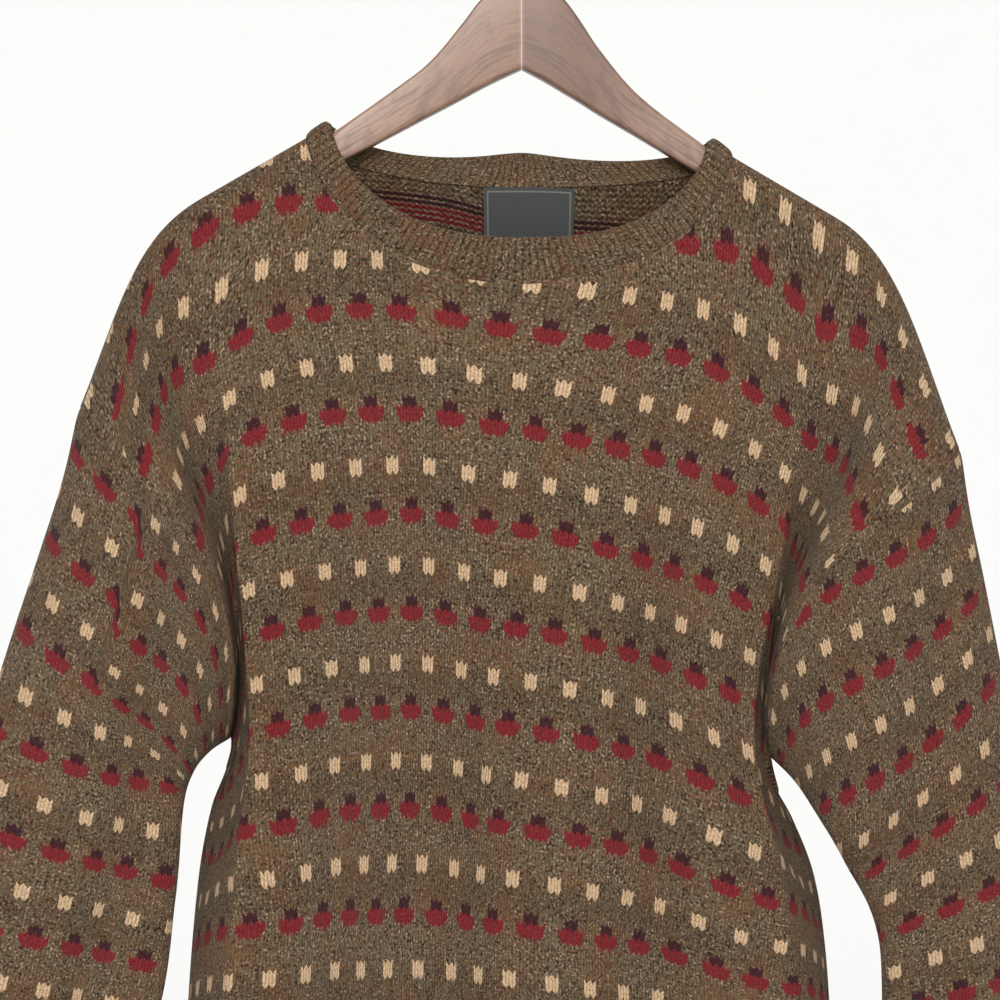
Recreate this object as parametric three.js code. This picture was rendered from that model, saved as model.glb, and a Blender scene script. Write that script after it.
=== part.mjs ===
// A knitted jumper with drop shoulders, hanging on a flat wooden hanger.
// Millimetres, +Z up. The front faces -Y and the viewer's right is +X.
// The origin is the seat of the hook, where a rail carries the hanger.
import * as THREE from 'three';

// Cut of the jumper, measured flat
const HALF_CHEST = 310;
const NECK_HALF = 128;
const FRONT_NECK_DROP = 90;
const BACK_NECK_DROP = 38;
const WALL = 2.8;
const SEAM_GAP = 0.3;

// Heights of the hanging jumper
const NECK_LEVEL = -166;
const HEM_SEAM = -815;
const ARMPIT_ROW = 0.358;

// Where the flat face of a panel ends and its side turns away
const CORNER = 190;

// Row by which the columns that leave the neck seam have spread out evenly
const SPREAD_ROW = 0.16;

// Shoulder line over the hanger: height at the neck seam and slope down each arm
const SHOULDERS = {
  left: { neckZ: -170.5, slope: 0.575 },
  right: { neckZ: -181.5, slope: 0.575 },
};

// Hanger
const HANGER_HALF_THICK = 7;
const HANGER_CLEARANCE = 0.5;
const WRAP = HANGER_HALF_THICK + HANGER_CLEARANCE + WALL;

// Wire hook
const WIRE = 3.5;
const HOOK_RADIUS = 22;
const WOOD_TOP = -80;

// Rib knit
const RIB_HEIGHT = 1.1;
const NECK_RIBS = 80;
const HEM_RIBS = 84;
const CUFF_RIBS = 28;
const BAND_HEIGHT = 25;
const BAND_THICKNESS = 5;
const HEM_HEIGHT = 62;
const CUFF_HEIGHT = 64;

const LEFT = -1;
const RIGHT = 1;
const FRONT = -1;
const BACK = 1;

// Half width of the body's face by row, from the shoulder (0) to the hem seam (1)
const FACE_WIDTH = [
  { row: 0, left: 190, right: 186 },
  { row: 0.1, left: 184, right: 178 },
  { row: 0.2, left: 176, right: 166 },
  { row: 0.36, left: 166, right: 149 },
  { row: 0.45, left: 161, right: 138 },
  { row: 0.53, left: 159, right: 136 },
  { row: 0.64, left: 166, right: 150 },
  { row: 0.78, left: 172, right: 160 },
  { row: 1, left: 176, right: 166 },
];

// How far a panel's middle stands off the plane of the hanger, by row
const FACE_DEPTH = [
  { row: 0, front: 11, back: 11 },
  { row: 0.1, front: 20, back: 16 },
  { row: 0.25, front: 37, back: 27 },
  { row: 0.45, front: 47, back: 38 },
  { row: 1, front: 52, back: 44 },
];

// Way from the face's corner to the armhole seam or side seam, by row.
// out is away from the middle, inward is towards the hanger's plane, up is +Z.
const SIDE_TURN = [
  { row: 0, out: 39, inward: 0, up: -22, edgeOut: -25, edgeIn: 0, edgeUp: 66 },
  { row: 0.1, out: 42, inward: 2, up: -26, edgeOut: -10, edgeIn: 6, edgeUp: 56 },
  { row: 0.18, out: 36, inward: 12, up: -38, edgeOut: 2, edgeIn: 18, edgeUp: 50 },
  { row: 0.27, out: 10, inward: 20, up: -46, edgeOut: 4, edgeIn: 16, edgeUp: 44 },
  { row: 0.358, out: 0, inward: 18, up: -56, edgeOut: -6, edgeIn: -9, edgeUp: 36 },
  { row: 0.378, out: -1, inward: 19, up: -60, edgeOut: -7, edgeIn: -14, edgeUp: 13 },
  { row: 0.4, out: -2, inward: 20, up: -62, edgeOut: -8, edgeIn: -15, edgeUp: 4 },
  { row: 0.45, out: 0, inward: 20, up: -58, edgeOut: -5, edgeIn: -8, edgeUp: 2 },
  { row: 0.53, out: 4, inward: 18, up: -44, edgeOut: -2, edgeIn: -16, edgeUp: 4 },
  { row: 0.64, out: 15, inward: 10, up: -20, edgeOut: 2, edgeIn: -24, edgeUp: 4 },
  { row: 0.8, out: 20, inward: 8, up: -8, edgeOut: 3, edgeIn: -24, edgeUp: 2 },
  { row: 1, out: 22, inward: 6, up: 0, edgeOut: 4, edgeIn: -24, edgeUp: 0 },
];

// Side seam from the armpit to the hem
const SIDE_SEAM = [
  { row: 0.358, left: 170, right: 143, y: -18 },
  { row: 0.4, left: 175, right: 149, y: -13 },
  { row: 0.45, left: 184, right: 161, y: -4 },
  { row: 0.53, left: 191, right: 174, y: 0 },
  { row: 0.64, left: 195, right: 180, y: 0 },
  { row: 0.8, left: 198, right: 182, y: 0 },
  { row: 1, left: 198, right: 182, y: 0 },
];

// Soft vertical folds of each face: place across the cut, row where each fades in, half width, height
const FRONT_FOLDS = [
  { s: -150, from: 0.2, width: 20, height: -6 },
  { s: -84, from: 0.12, width: 32, height: 13 },
  { s: -20, from: 0.25, width: 24, height: -6 },
  { s: 45, from: 0.35, width: 28, height: 6 },
  { s: 100, from: 0.2, width: 24, height: -12 },
  { s: 150, from: 0.3, width: 22, height: 5 },
];
const BACK_FOLDS = [
  { s: -130, from: 0.25, width: 28, height: 9 },
  { s: -62, from: 0.2, width: 30, height: -9 },
  { s: 12, from: 0.3, width: 30, height: 8 },
  { s: 82, from: 0.15, width: 28, height: -8 },
  { s: 142, from: 0.3, width: 24, height: 8 },
];

// Armhole: top of the seam at the shoulder and its foot at the armpit
const ARMHOLES = {
  left: { topX: 262, topZ: -329, footX: 170, footZ: -525 },
  right: { topX: 260, topZ: -354, footX: 143, footZ: -534 },
};
const ARMPIT_Y = -18;
const ARMPIT_GAP = 1;
const ARMHOLE_BOW = 31;
const ARMHOLE_DEPTH = { front: 42, back: 36 };

// Sleeve rings from the armhole (0) to the cuff seam (1): upper and under edge, and depth each way
const LEFT_SLEEVE_RINGS = [
  { along: 0, overX: 262, overZ: -329, underX: 170, underZ: -525, y: 0, underY: -18, front: 42, back: 36 },
  { along: 0.1, overX: 271, overZ: -371, underX: 181, underZ: -532, y: -2, underY: -28, front: 38, back: 34 },
  { along: 0.2, overX: 284, overZ: -413, underX: 190, underZ: -543, y: -4, underY: -34, front: 32, back: 30 },
  { along: 0.34, overX: 303, overZ: -471, underX: 196, underZ: -562, y: -6, underY: -36, front: 28, back: 26 },
  { along: 0.6, overX: 337, overZ: -580, underX: 201, underZ: -618, y: -10, underY: -36, front: 25, back: 24 },
  { along: 0.8, overX: 360, overZ: -665, underX: 213, underZ: -690, y: -10, underY: -32, front: 24, back: 23 },
  { along: 1, overX: 374, overZ: -746, underX: 250, underZ: -764, y: -10, underY: -28, front: 22, back: 22 },
];
const RIGHT_SLEEVE_RINGS = [
  { along: 0, overX: 260, overZ: -354, underX: 143, underZ: -534, y: 0, underY: -18, front: 42, back: 36 },
  { along: 0.1, overX: 265, overZ: -390, underX: 158, underZ: -549, y: -2, underY: -30, front: 38, back: 34 },
  { along: 0.2, overX: 273, overZ: -430, underX: 170, underZ: -567, y: -4, underY: -36, front: 33, back: 31 },
  { along: 0.34, overX: 285, overZ: -492, underX: 186, underZ: -594, y: -6, underY: -36, front: 29, back: 27 },
  { along: 0.6, overX: 306, overZ: -600, underX: 207, underZ: -640, y: -10, underY: -34, front: 27, back: 26 },
  { along: 0.8, overX: 321, overZ: -688, underX: 211, underZ: -712, y: -10, underY: -30, front: 26, back: 25 },
  { along: 1, overX: 334, overZ: -770, underX: 222, underZ: -786, y: -10, underY: -26, front: 22, back: 22 },
];
const SLEEVE_RINGS = { left: LEFT_SLEEVE_RINGS, right: RIGHT_SLEEVE_RINGS };
const CUFF_TAPER = { top: 0.9, bottom: 0.82 };

// Long creases down the front of the drop shoulders and sleeves, by height
const CREASES = {
  left: [
    { z: -750, x: -300 },
    { z: -676, x: -262 },
    { z: -560, x: -224 },
    { z: -440, x: -216 },
    { z: -300, x: -222 },
  ],
  right: [
    { z: -770, x: 275 },
    { z: -676, x: 240 },
    { z: -600, x: 229 },
    { z: -500, x: 238 },
    { z: -400, x: 252 },
  ],
};
const CREASE = { width: 17, depth: 9, fadeTop: 70 };

// Neck label
const LABEL = { left: -22, right: 30, top: 40, bottom: 80, thick: 0.8, lift: 0.6 };

// Small maths
function ease(x) {
  const u = Math.min(1, Math.max(0, x));
  return u * u * (3 - 2 * u);
}

function sideName(side) {
  return side === LEFT ? 'left' : 'right';
}

function faceName(face) {
  return face === FRONT ? 'front' : 'back';
}

// Smooth value of a named column of a table at a place along it
function lookup(table, place, column, at) {
  const last = table.length - 1;
  if (at <= table[0][place]) {
    return table[0][column];
  }
  if (at >= table[last][place]) {
    return table[last][column];
  }
  let i = 0;
  while (at > table[i + 1][place]) {
    i += 1;
  }
  const slope = (k) => {
    const a = table[Math.max(0, k - 1)];
    const b = table[Math.min(last, k + 1)];
    return (b[column] - a[column]) / (b[place] - a[place]);
  };
  const step = table[i + 1][place] - table[i][place];
  const u = (at - table[i][place]) / step;
  const rise = table[i + 1][column] - table[i][column];
  const start = slope(i) * step;
  const end = slope(i + 1) * step;
  const square = 3 * rise - 2 * start - end;
  const cube = start + end - 2 * rise;
  return table[i][column] + u * (start + u * (square + u * cube));
}

// Height of the shoulder line, extended across the neck
function ridgeHeight(s) {
  const arm = SHOULDERS[s < 0 ? 'left' : 'right'];
  const out = Math.abs(s);
  if (out >= NECK_HALF) {
    return arm.neckZ - (out - NECK_HALF) * arm.slope;
  }
  return NECK_LEVEL + (arm.neckZ - NECK_LEVEL) * (out / NECK_HALF) ** 2;
}

// Depth of the neck scoop under the shoulder line
function neckDrop(face, s) {
  const drop = face === FRONT ? FRONT_NECK_DROP : BACK_NECK_DROP;
  return drop * Math.sqrt(Math.max(0, 1 - Math.abs(s / NECK_HALF) ** 2));
}

// Length of cloth that the folds take up between the middle and s
function foldedRun(folds, s, row) {
  let run = s;
  for (const fold of folds) {
    const shrink = (0.31 * (fold.height * ease((row - fold.from) / 0.25)) ** 2) / fold.width;
    run -= shrink * (Math.tanh((1.5 * (s - fold.s)) / fold.width) + Math.tanh((1.5 * fold.s) / fold.width));
  }
  return run;
}

// Point on the outside of a panel's face, |s| up to CORNER, on a column that starts below the shoulder line
function facePoint(face, s, start, row) {
  const folds = face === FRONT ? FRONT_FOLDS : BACK_FOLDS;
  const side = s < 0 ? LEFT : RIGHT;
  const ridge = ridgeHeight(s);
  const below = start + row * (ridge - start - HEM_SEAM);
  const level = below / (ridge - HEM_SEAM);
  const width = lookup(FACE_WIDTH, 'row', sideName(side), level);
  const run = foldedRun(folds, s, level);
  const x = (side * width * run) / foldedRun(folds, side * CORNER, level);
  const bend = Math.min(below / WRAP, Math.PI / 2);
  const full = lookup(FACE_DEPTH, 'row', faceName(face), level);
  const crown = 1 - 0.12 * (s / CORNER) ** 2;
  let depth = WRAP * Math.sin(bend) + Math.max(0, full * crown - WRAP) * ease(below / 60);
  for (const fold of folds) {
    depth += fold.height * ease((level - fold.from) / 0.25) * Math.exp(-(((s - fold.s) / fold.width) ** 2));
  }
  const over = below < (WRAP * Math.PI) / 2 ? below - WRAP * (1 - Math.cos(bend)) : WRAP * (Math.PI / 2 - 1);
  const slack = over * (1 - ease((below - 20) / 80));
  return new THREE.Vector3(x, face * depth, ridge - below + slack);
}

// Point on the armhole seam. angle runs from 0 at the shoulder to pi at the armpit.
function armholePoint(face, side, angle) {
  const hole = ARMHOLES[sideName(side)];
  const f = (1 - Math.cos(angle)) / 2;
  const across = hole.footX - hole.topX;
  const down = hole.footZ - hole.topZ;
  const chord = Math.hypot(across, down);
  const bow = ARMHOLE_BOW * Math.sin(Math.PI * f ** 1.35);
  const x = hole.topX + across * f + (down / chord) * bow;
  const z = hole.topZ + down * f - (across / chord) * bow;
  const y = ARMPIT_Y * f + face * ARMHOLE_DEPTH[faceName(face)] * Math.sin(angle);
  return new THREE.Vector3(side * x, y, z);
}

// A crease pushes the front of a drop shoulder or sleeve back along its line
function creaseBack(side, point) {
  const line = CREASES[sideName(side)];
  const middle = lookup(line, 'z', 'x', point.z);
  const top = line[line.length - 1].z;
  const fade = ease((top + CREASE.fadeTop / 2 - point.z) / CREASE.fadeTop);
  return CREASE.depth * fade * Math.exp(-(((point.x - middle) / CREASE.width) ** 2));
}

// Outer edge of a panel: armhole seam down to the armpit, then the side seam
function edgePoint(face, side, row) {
  if (row <= ARMPIT_ROW) {
    const angle = Math.acos(1 - (2 * row) / ARMPIT_ROW);
    const point = armholePoint(face, side, angle);
    if (face === FRONT) {
      point.y += creaseBack(side, point) * Math.sin(angle);
    }
    return point;
  }
  const hole = ARMHOLES[sideName(side)];
  const down = (row - ARMPIT_ROW) / (1 - ARMPIT_ROW);
  return new THREE.Vector3(
    side * lookup(SIDE_SEAM, 'row', sideName(side), row),
    lookup(SIDE_SEAM, 'row', 'y', row),
    hole.footZ + (HEM_SEAM - hole.footZ) * down,
  );
}

// Place across the cut of a column at a row: columns leave the neck seam bunched and spread below it
function acrossCut(column, row) {
  return column.top + (column.low - column.top) * ease(row / SPREAD_ROW);
}

// Point on the outside of a panel, on a column at a row
function panelPoint(face, column, row) {
  const s = acrossCut(column, row);
  if (Math.abs(s) <= CORNER) {
    return facePoint(face, s, Math.abs(column.top) < NECK_HALF ? neckDrop(face, column.top) : 0, row);
  }
  const side = s < 0 ? LEFT : RIGHT;
  const w = (Math.abs(s) - CORNER) / (HALF_CHEST - CORNER);
  const corner = facePoint(face, side * CORNER, 0, row);
  const edge = edgePoint(face, side, row);
  const turn = (column) => lookup(SIDE_TURN, 'row', column, row);
  const first = corner.clone().add(new THREE.Vector3(side * turn('out'), -face * turn('inward'), turn('up')));
  const lift = new THREE.Vector3(side * turn('edgeOut'), -face * turn('edgeIn'), turn('edgeUp'));
  const second = edge.clone().add(lift);
  const u = 1 - w;
  const point = corner.multiplyScalar(u * u * u);
  point.addScaledVector(first, 3 * u * u * w);
  point.addScaledVector(second, 3 * u * w * w);
  point.addScaledVector(edge, w * w * w);
  if (face === FRONT && row > 0.02 && row < ARMPIT_ROW) {
    point.y += creaseBack(side, point) * w * (1 - w) * 2;
  }
  return point;
}

// Direction out of the cloth on the armhole seam, shared by panel and sleeve
function ringNormal(axis, half, depth, face, angle) {
  const normal = axis.clone().multiplyScalar(Math.cos(angle) * depth);
  normal.y += face * Math.sin(angle) * half;
  return normal.normalize();
}

function armholeNormal(face, side, angle) {
  const hole = ARMHOLES[sideName(side)];
  const half = new THREE.Vector3(side * (hole.topX - hole.footX), -ARMPIT_Y, hole.topZ - hole.footZ);
  const length = half.length() / 2;
  return ringNormal(half.normalize(), length, ARMHOLE_DEPTH[faceName(face)], face, angle);
}

// Direction out of the cloth anywhere on a panel
function panelNormal(face, column, row) {
  const s = acrossCut(column, row);
  const out = Math.abs(s);
  const side = s < 0 ? LEFT : RIGHT;
  if (out === HALF_CHEST && row <= ARMPIT_ROW) {
    return armholeNormal(face, side, Math.acos(1 - (2 * row) / ARMPIT_ROW));
  }
  if (out === HALF_CHEST) {
    const droop = 1 - ease((row - ARMPIT_ROW) / 0.1);
    return new THREE.Vector3(side, 0, -0.9 * droop).normalize();
  }
  const ds = 1.5;
  const dr = 0.003;
  const shifted = (step) => {
    const move = (place) => Math.max(-HALF_CHEST, Math.min(HALF_CHEST, place + step));
    return panelPoint(face, { top: move(column.top), low: move(column.low) }, row);
  };
  const alongS = shifted(ds).sub(shifted(-ds));
  if (row === 0 && out >= NECK_HALF) {
    const ridge = shifted(side * ds).sub(shifted(0)).multiplyScalar(side);
    return new THREE.Vector3(-ridge.z, 0, ridge.x).normalize();
  }
  const down = panelPoint(face, column, Math.min(1, row + dr));
  down.sub(panelPoint(face, column, Math.max(0, row - dr)));
  const normal = down.cross(alongS).multiplyScalar(-face).normalize();
  if (row === 1) {
    normal.z = 0;
  }
  return normal.normalize();
}

// Columns across a panel and rows down it
const NECK_ANGLES = [0, 0.1, 0.2, 0.3, 0.4, 0.5, 0.6, 0.7, 0.8, 0.9, 0.95, 1];
const HALF_COLUMNS = NECK_ANGLES.map((part, i) => {
  return { top: NECK_HALF * Math.sin((part * Math.PI) / 2), low: (NECK_HALF * i) / (NECK_ANGLES.length - 1) };
});
for (const s of [142, 157, 172, CORNER, 202, 216, 230, 245, 260, 275, 288, 299, HALF_CHEST]) {
  HALF_COLUMNS.push({ top: s, low: s });
}
const NECK_END = NECK_ANGLES.length - 1;
const MIDDLE = HALF_COLUMNS.length - 1;
const mirrored = HALF_COLUMNS.slice(1).reverse().map(({ top, low }) => ({ top: -top, low: -low }));
const COLUMNS = [...mirrored, ...HALF_COLUMNS];
const ARMHOLE_PARTS = [0, 0.1, 0.15, 0.2, 0.3, 0.4, 0.5, 0.6, 0.7, 0.8, 0.9, 1];
const ARMHOLE_ANGLES = ARMHOLE_PARTS.map((part) => part * Math.PI);
const ROWS_BELOW = [0.382, 0.415, 0.465, 0.53, 0.61, 0.7, 0.8, 0.9, 1];
const ROWS = ARMHOLE_ANGLES.map((angle) => (ARMPIT_ROW * (1 - Math.cos(angle))) / 2);
ROWS.push(...ROWS_BELOW);

// A closed wall between an outer and an inner grid of points
function wall(outer, inner, isTube) {
  const rows = outer.length;
  const columns = outer[0].length;
  const points = [...outer.flat(), ...inner.flat()];
  const faces = [];
  const quad = (a, b, c, d) => faces.push(a, b, c, a, c, d);
  const out = (i, j) => i * columns + (j % columns);
  const within = (i, j) => rows * columns + out(i, j);
  const spans = isTube ? columns : columns - 1;
  for (let j = 0; j < spans; j += 1) {
    for (let i = 0; i < rows - 1; i += 1) {
      quad(out(i, j), out(i + 1, j), out(i + 1, j + 1), out(i, j + 1));
      quad(within(i, j), within(i, j + 1), within(i + 1, j + 1), within(i + 1, j));
    }
    quad(out(0, j), out(0, j + 1), within(0, j + 1), within(0, j));
    quad(out(rows - 1, j), within(rows - 1, j), within(rows - 1, j + 1), out(rows - 1, j + 1));
  }
  if (!isTube) {
    for (let i = 0; i < rows - 1; i += 1) {
      quad(out(i, 0), within(i, 0), within(i + 1, 0), out(i + 1, 0));
      quad(out(i, spans), out(i + 1, spans), within(i + 1, spans), within(i, spans));
    }
  }
  return solid(points, faces);
}

// Geometry with its faces turned outwards
function solid(points, faces) {
  let volume = 0;
  for (let i = 0; i < faces.length; i += 3) {
    const [a, b, c] = [points[faces[i]], points[faces[i + 1]], points[faces[i + 2]]];
    volume += a.dot(b.clone().cross(c));
  }
  const index = volume > 0 ? faces : faces.slice().reverse();
  const geometry = new THREE.BufferGeometry();
  geometry.setAttribute('position', new THREE.Float32BufferAttribute(points.flatMap((p) => p.toArray()), 3));
  geometry.setIndex(index);
  return geometry;
}

// Front and back panels
function panelGrids(face) {
  const clear = new THREE.Vector3(0, (face * SEAM_GAP) / 2, 0);
  const outer = ROWS.map((row) => COLUMNS.map((column) => panelPoint(face, column, row).add(clear)));
  const inner = outer.map((line, i) => line.map((p, j) => {
    return p.clone().addScaledVector(panelNormal(face, COLUMNS[j], ROWS[i]), -WALL);
  }));
  return { outer, inner };
}

// Sleeves
function sleeveGrids(side) {
  const name = sideName(side);
  const table = SLEEVE_RINGS[name];
  const hole = ARMHOLES[name];
  const away = new THREE.Vector3(side * (hole.topZ - hole.footZ), 0, hole.footX - hole.topX).normalize();
  const outer = [];
  const inner = [];
  const stations = [0, 0.04, 0.09, 0.15, 0.22, 0.3, 0.39, 0.49, 0.6, 0.72, 0.86, 1];
  for (const along of stations) {
    const at = (column) => lookup(table, 'along', column, along);
    const over = new THREE.Vector3(side * at('overX'), at('y'), at('overZ'));
    const under = new THREE.Vector3(side * at('underX'), at('underY'), at('underZ'));
    const middle = over.clone().add(under).multiplyScalar(0.5);
    const half = over.clone().sub(middle);
    const axis = half.clone().normalize();
    const bow = ARMHOLE_BOW * (1 - ease(along / 0.35));
    const ringOut = [];
    const ringIn = [];
    const addPoint = (face, angle) => {
      const f = (1 - Math.cos(angle)) / 2;
      const depth = at(faceName(face));
      const point = middle.clone().addScaledVector(half, Math.cos(angle));
      point.y += face * depth * Math.sin(angle);
      point.addScaledVector(away, -bow * Math.sin(Math.PI * f ** 1.35));
      if (face === FRONT) {
        point.y += creaseBack(side, point) * Math.sin(angle);
      }
      point.addScaledVector(away, SEAM_GAP + 0.1 + ARMPIT_GAP * f ** 6);
      ringOut.push(point);
      ringIn.push(point.clone().addScaledVector(ringNormal(axis, half.length(), depth, face, angle), -WALL));
    };
    ARMHOLE_ANGLES.forEach((angle) => addPoint(FRONT, angle));
    ARMHOLE_ANGLES.slice(1, -1).reverse().forEach((angle) => addPoint(BACK, angle));
    outer.push(ringOut);
    inner.push(ringIn);
  }
  return { outer, inner };
}

// Points at even distances round a closed polyline, with what is stored at its corners blended
function resample(corners, count) {
  const lengths = [0];
  corners.forEach((corner, i) => {
    const next = corners[(i + 1) % corners.length];
    lengths.push(lengths[i] + corner.point.distanceTo(next.point));
  });
  const total = lengths[corners.length];
  const result = [];
  let i = 0;
  for (let k = 0; k < count; k += 1) {
    const at = (total * k) / count;
    while (lengths[i + 1] <= at) {
      i += 1;
    }
    const u = (at - lengths[i]) / (lengths[i + 1] - lengths[i]);
    const a = corners[i];
    const b = corners[(i + 1) % corners.length];
    result.push({ point: a.point.clone().lerp(b.point, u), normal: a.normal.clone().lerp(b.normal, u) });
  }
  return result;
}

// Rib tube that carries on from a loop: sections are lists of [rise, out, isRibbed]
function ribTube(loop, rise, outerSection, innerSection) {
  const line = (section) => section.map(([up, out, ribbed]) => loop.map(({ point, normal }, k) => {
    const raised = ribbed && k % 2 === 0 ? RIB_HEIGHT : 0;
    return point.clone().addScaledVector(rise(point), up).addScaledVector(normal, out + raised);
  }));
  return wall(line(outerSection), line(innerSection), true);
}

function neckLoop(front, back) {
  const start = MIDDLE - NECK_END;
  const end = MIDDLE + NECK_END;
  const corners = [];
  const add = (grids, j) => {
    const normal = grids.outer[0][j].clone().sub(grids.inner[0][j]).divideScalar(WALL);
    corners.push({ point: grids.outer[0][j].clone(), normal });
  };
  for (let j = start; j <= end; j += 1) {
    add(front, j);
  }
  for (let j = end; j >= start; j -= 1) {
    add(back, j);
  }
  return resample(corners, NECK_RIBS * 2);
}

// The neckband rises towards the middle of the neck and leans back
function neckRise(point) {
  const inwards = new THREE.Vector3(-point.x, 0, -150 - point.z).normalize();
  const atSide = inwards.x ** 2;
  inwards.z += 0.42 * atSide;
  inwards.y += (point.y < 0 ? 0.2 : 0.62) * (1 - atSide);
  return inwards.normalize();
}

function makeNeckband(front, back) {
  const loop = neckLoop(front, back);
  const gap = SEAM_GAP + 0.5;
  const proud = 2;
  const outerSection = [[gap, 0, false], [5, proud, true], [BAND_HEIGHT - 2, proud, true]];
  const innerSection = [[gap, -WALL, false], [5, proud - BAND_THICKNESS, false], [BAND_HEIGHT, -1, false]];
  return ribTube(loop, neckRise, outerSection, innerSection);
}

function makeHem(front, back) {
  const last = ROWS.length - 1;
  const corners = [];
  const add = (grids, j) => {
    const normal = grids.outer[last][j].clone().sub(grids.inner[last][j]).divideScalar(WALL);
    corners.push({ point: grids.outer[last][j].clone(), normal });
  };
  COLUMNS.forEach((column, j) => add(front, j));
  COLUMNS.forEach((column, j) => add(back, COLUMNS.length - 1 - j));
  const loop = resample(corners, HEM_RIBS * 2);
  const down = () => new THREE.Vector3(0, 0, -1);
  const outerSection = [[SEAM_GAP, 0, true], [HEM_HEIGHT, -2, true]];
  const innerSection = [[SEAM_GAP, -WALL, false], [HEM_HEIGHT, -2 - WALL, false]];
  return ribTube(loop, down, outerSection, innerSection);
}

function makeCuff(sleeve) {
  const last = sleeve.outer.length - 1;
  const ring = sleeve.outer[last];
  const corners = ring.map((point, k) => {
    return { point, normal: point.clone().sub(sleeve.inner[last][k]).divideScalar(WALL) };
  });
  const middle = ring[0].clone().add(ring[ARMHOLE_ANGLES.length - 1]).multiplyScalar(0.5);
  const across = ring[0].clone().sub(middle);
  const down = across.clone().cross(new THREE.Vector3(0, 1, 0)).normalize();
  down.multiplyScalar(down.z < 0 ? 1 : -1);
  const loop = resample(corners, CUFF_RIBS * 2);
  const tighter = (k, part) => {
    const taper = CUFF_TAPER.top + (CUFF_TAPER.bottom - CUFF_TAPER.top) * part;
    const offset = loop[k].point.clone().sub(middle).multiplyScalar(taper);
    return middle.clone().add(offset).addScaledVector(down, SEAM_GAP + 0.1 + CUFF_HEIGHT * part);
  };
  const lines = (out, ribbed) => [0, 1].map((part) => loop.map(({ normal }, k) => {
    return tighter(k, part).addScaledVector(normal, out + (ribbed && k % 2 === 0 ? RIB_HEIGHT : 0));
  }));
  return wall(lines(0, true), lines(-WALL, false), true);
}

// Neck label on the inside of the back panel
function makeLabel() {
  const rows = [LABEL.top, (LABEL.top + LABEL.bottom) / 2, LABEL.bottom];
  const columns = [0, 0.25, 0.5, 0.75, 1].map((u) => LABEL.left + (LABEL.right - LABEL.left) * u);
  const at = (lift) => rows.map((below) => columns.map((s) => {
    const start = neckDrop(BACK, s);
    const row = (below - start) / (ridgeHeight(s) - start - HEM_SEAM);
    const column = { top: s, low: s };
    return panelPoint(BACK, column, row).addScaledVector(panelNormal(BACK, column, row), -WALL - lift);
  }));
  return wall(at(LABEL.lift + LABEL.thick), at(LABEL.lift), false);
}

// Wooden hanger: top and bottom edge of each arm by distance from the middle
const HANGER_ARMS = {
  left: [
    { x: 0, top: -80, bottom: -130.5 },
    { x: 14, top: -82, bottom: -137 },
    { x: 24, top: -89, bottom: -142 },
    { x: 34, top: -102, bottom: -147.5 },
    { x: 53, top: -124.7, bottom: -157.5 },
    { x: 71, top: -139.2, bottom: -167 },
    { x: 111, top: -167.2, bottom: -188 },
    { x: 128, top: -177, bottom: -197.5 },
    { x: 190, top: -210.2, bottom: -237 },
    { x: 200, top: -217.6, bottom: -243 },
    { x: 207, top: -225, bottom: -240 },
  ],
  right: [
    { x: 0, top: -80, bottom: -130.5 },
    { x: 14, top: -82, bottom: -138 },
    { x: 24, top: -88, bottom: -144 },
    { x: 34, top: -101, bottom: -150 },
    { x: 45, top: -117.7, bottom: -157 },
    { x: 68, top: -145, bottom: -170.5 },
    { x: 107, top: -175, bottom: -194 },
    { x: 125, top: -187, bottom: -206 },
    { x: 186, top: -221.3, bottom: -248 },
    { x: 196, top: -229, bottom: -254 },
    { x: 203, top: -237, bottom: -251 },
  ],
};

function makeHangerArm(side) {
  const table = HANGER_ARMS[sideName(side)];
  const roundSteps = 4;
  const rings = table.map(({ x, top, bottom }) => {
    const radius = Math.min(HANGER_HALF_THICK, (top - bottom) / 2);
    const ring = [];
    for (let k = 0; k <= roundSteps; k += 1) {
      const angle = (Math.PI * k) / roundSteps;
      ring.push([Math.cos(angle) * radius, top - radius + Math.sin(angle) * radius]);
    }
    for (let k = 0; k <= roundSteps; k += 1) {
      const angle = Math.PI + (Math.PI * k) / roundSteps;
      ring.push([Math.cos(angle) * radius, bottom + radius + Math.sin(angle) * radius]);
    }
    return ring.map(([y, z]) => new THREE.Vector3(side * (x + SEAM_GAP / 2), y, z));
  });
  return capped(rings);
}

// Solid through rings of points, closed by a fan at each end
function capped(rings) {
  const sides = rings[0].length;
  const points = rings.flat();
  const faces = [];
  for (let i = 0; i < rings.length - 1; i += 1) {
    for (let k = 0; k < sides; k += 1) {
      const a = i * sides + k;
      const b = i * sides + ((k + 1) % sides);
      faces.push(a, b, b + sides, a, b + sides, a + sides);
    }
  }
  const lastRing = (rings.length - 1) * sides;
  for (let k = 1; k < sides - 1; k += 1) {
    faces.push(0, k + 1, k);
    faces.push(lastRing, lastRing + k, lastRing + k + 1);
  }
  return solid(points, faces);
}

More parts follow.
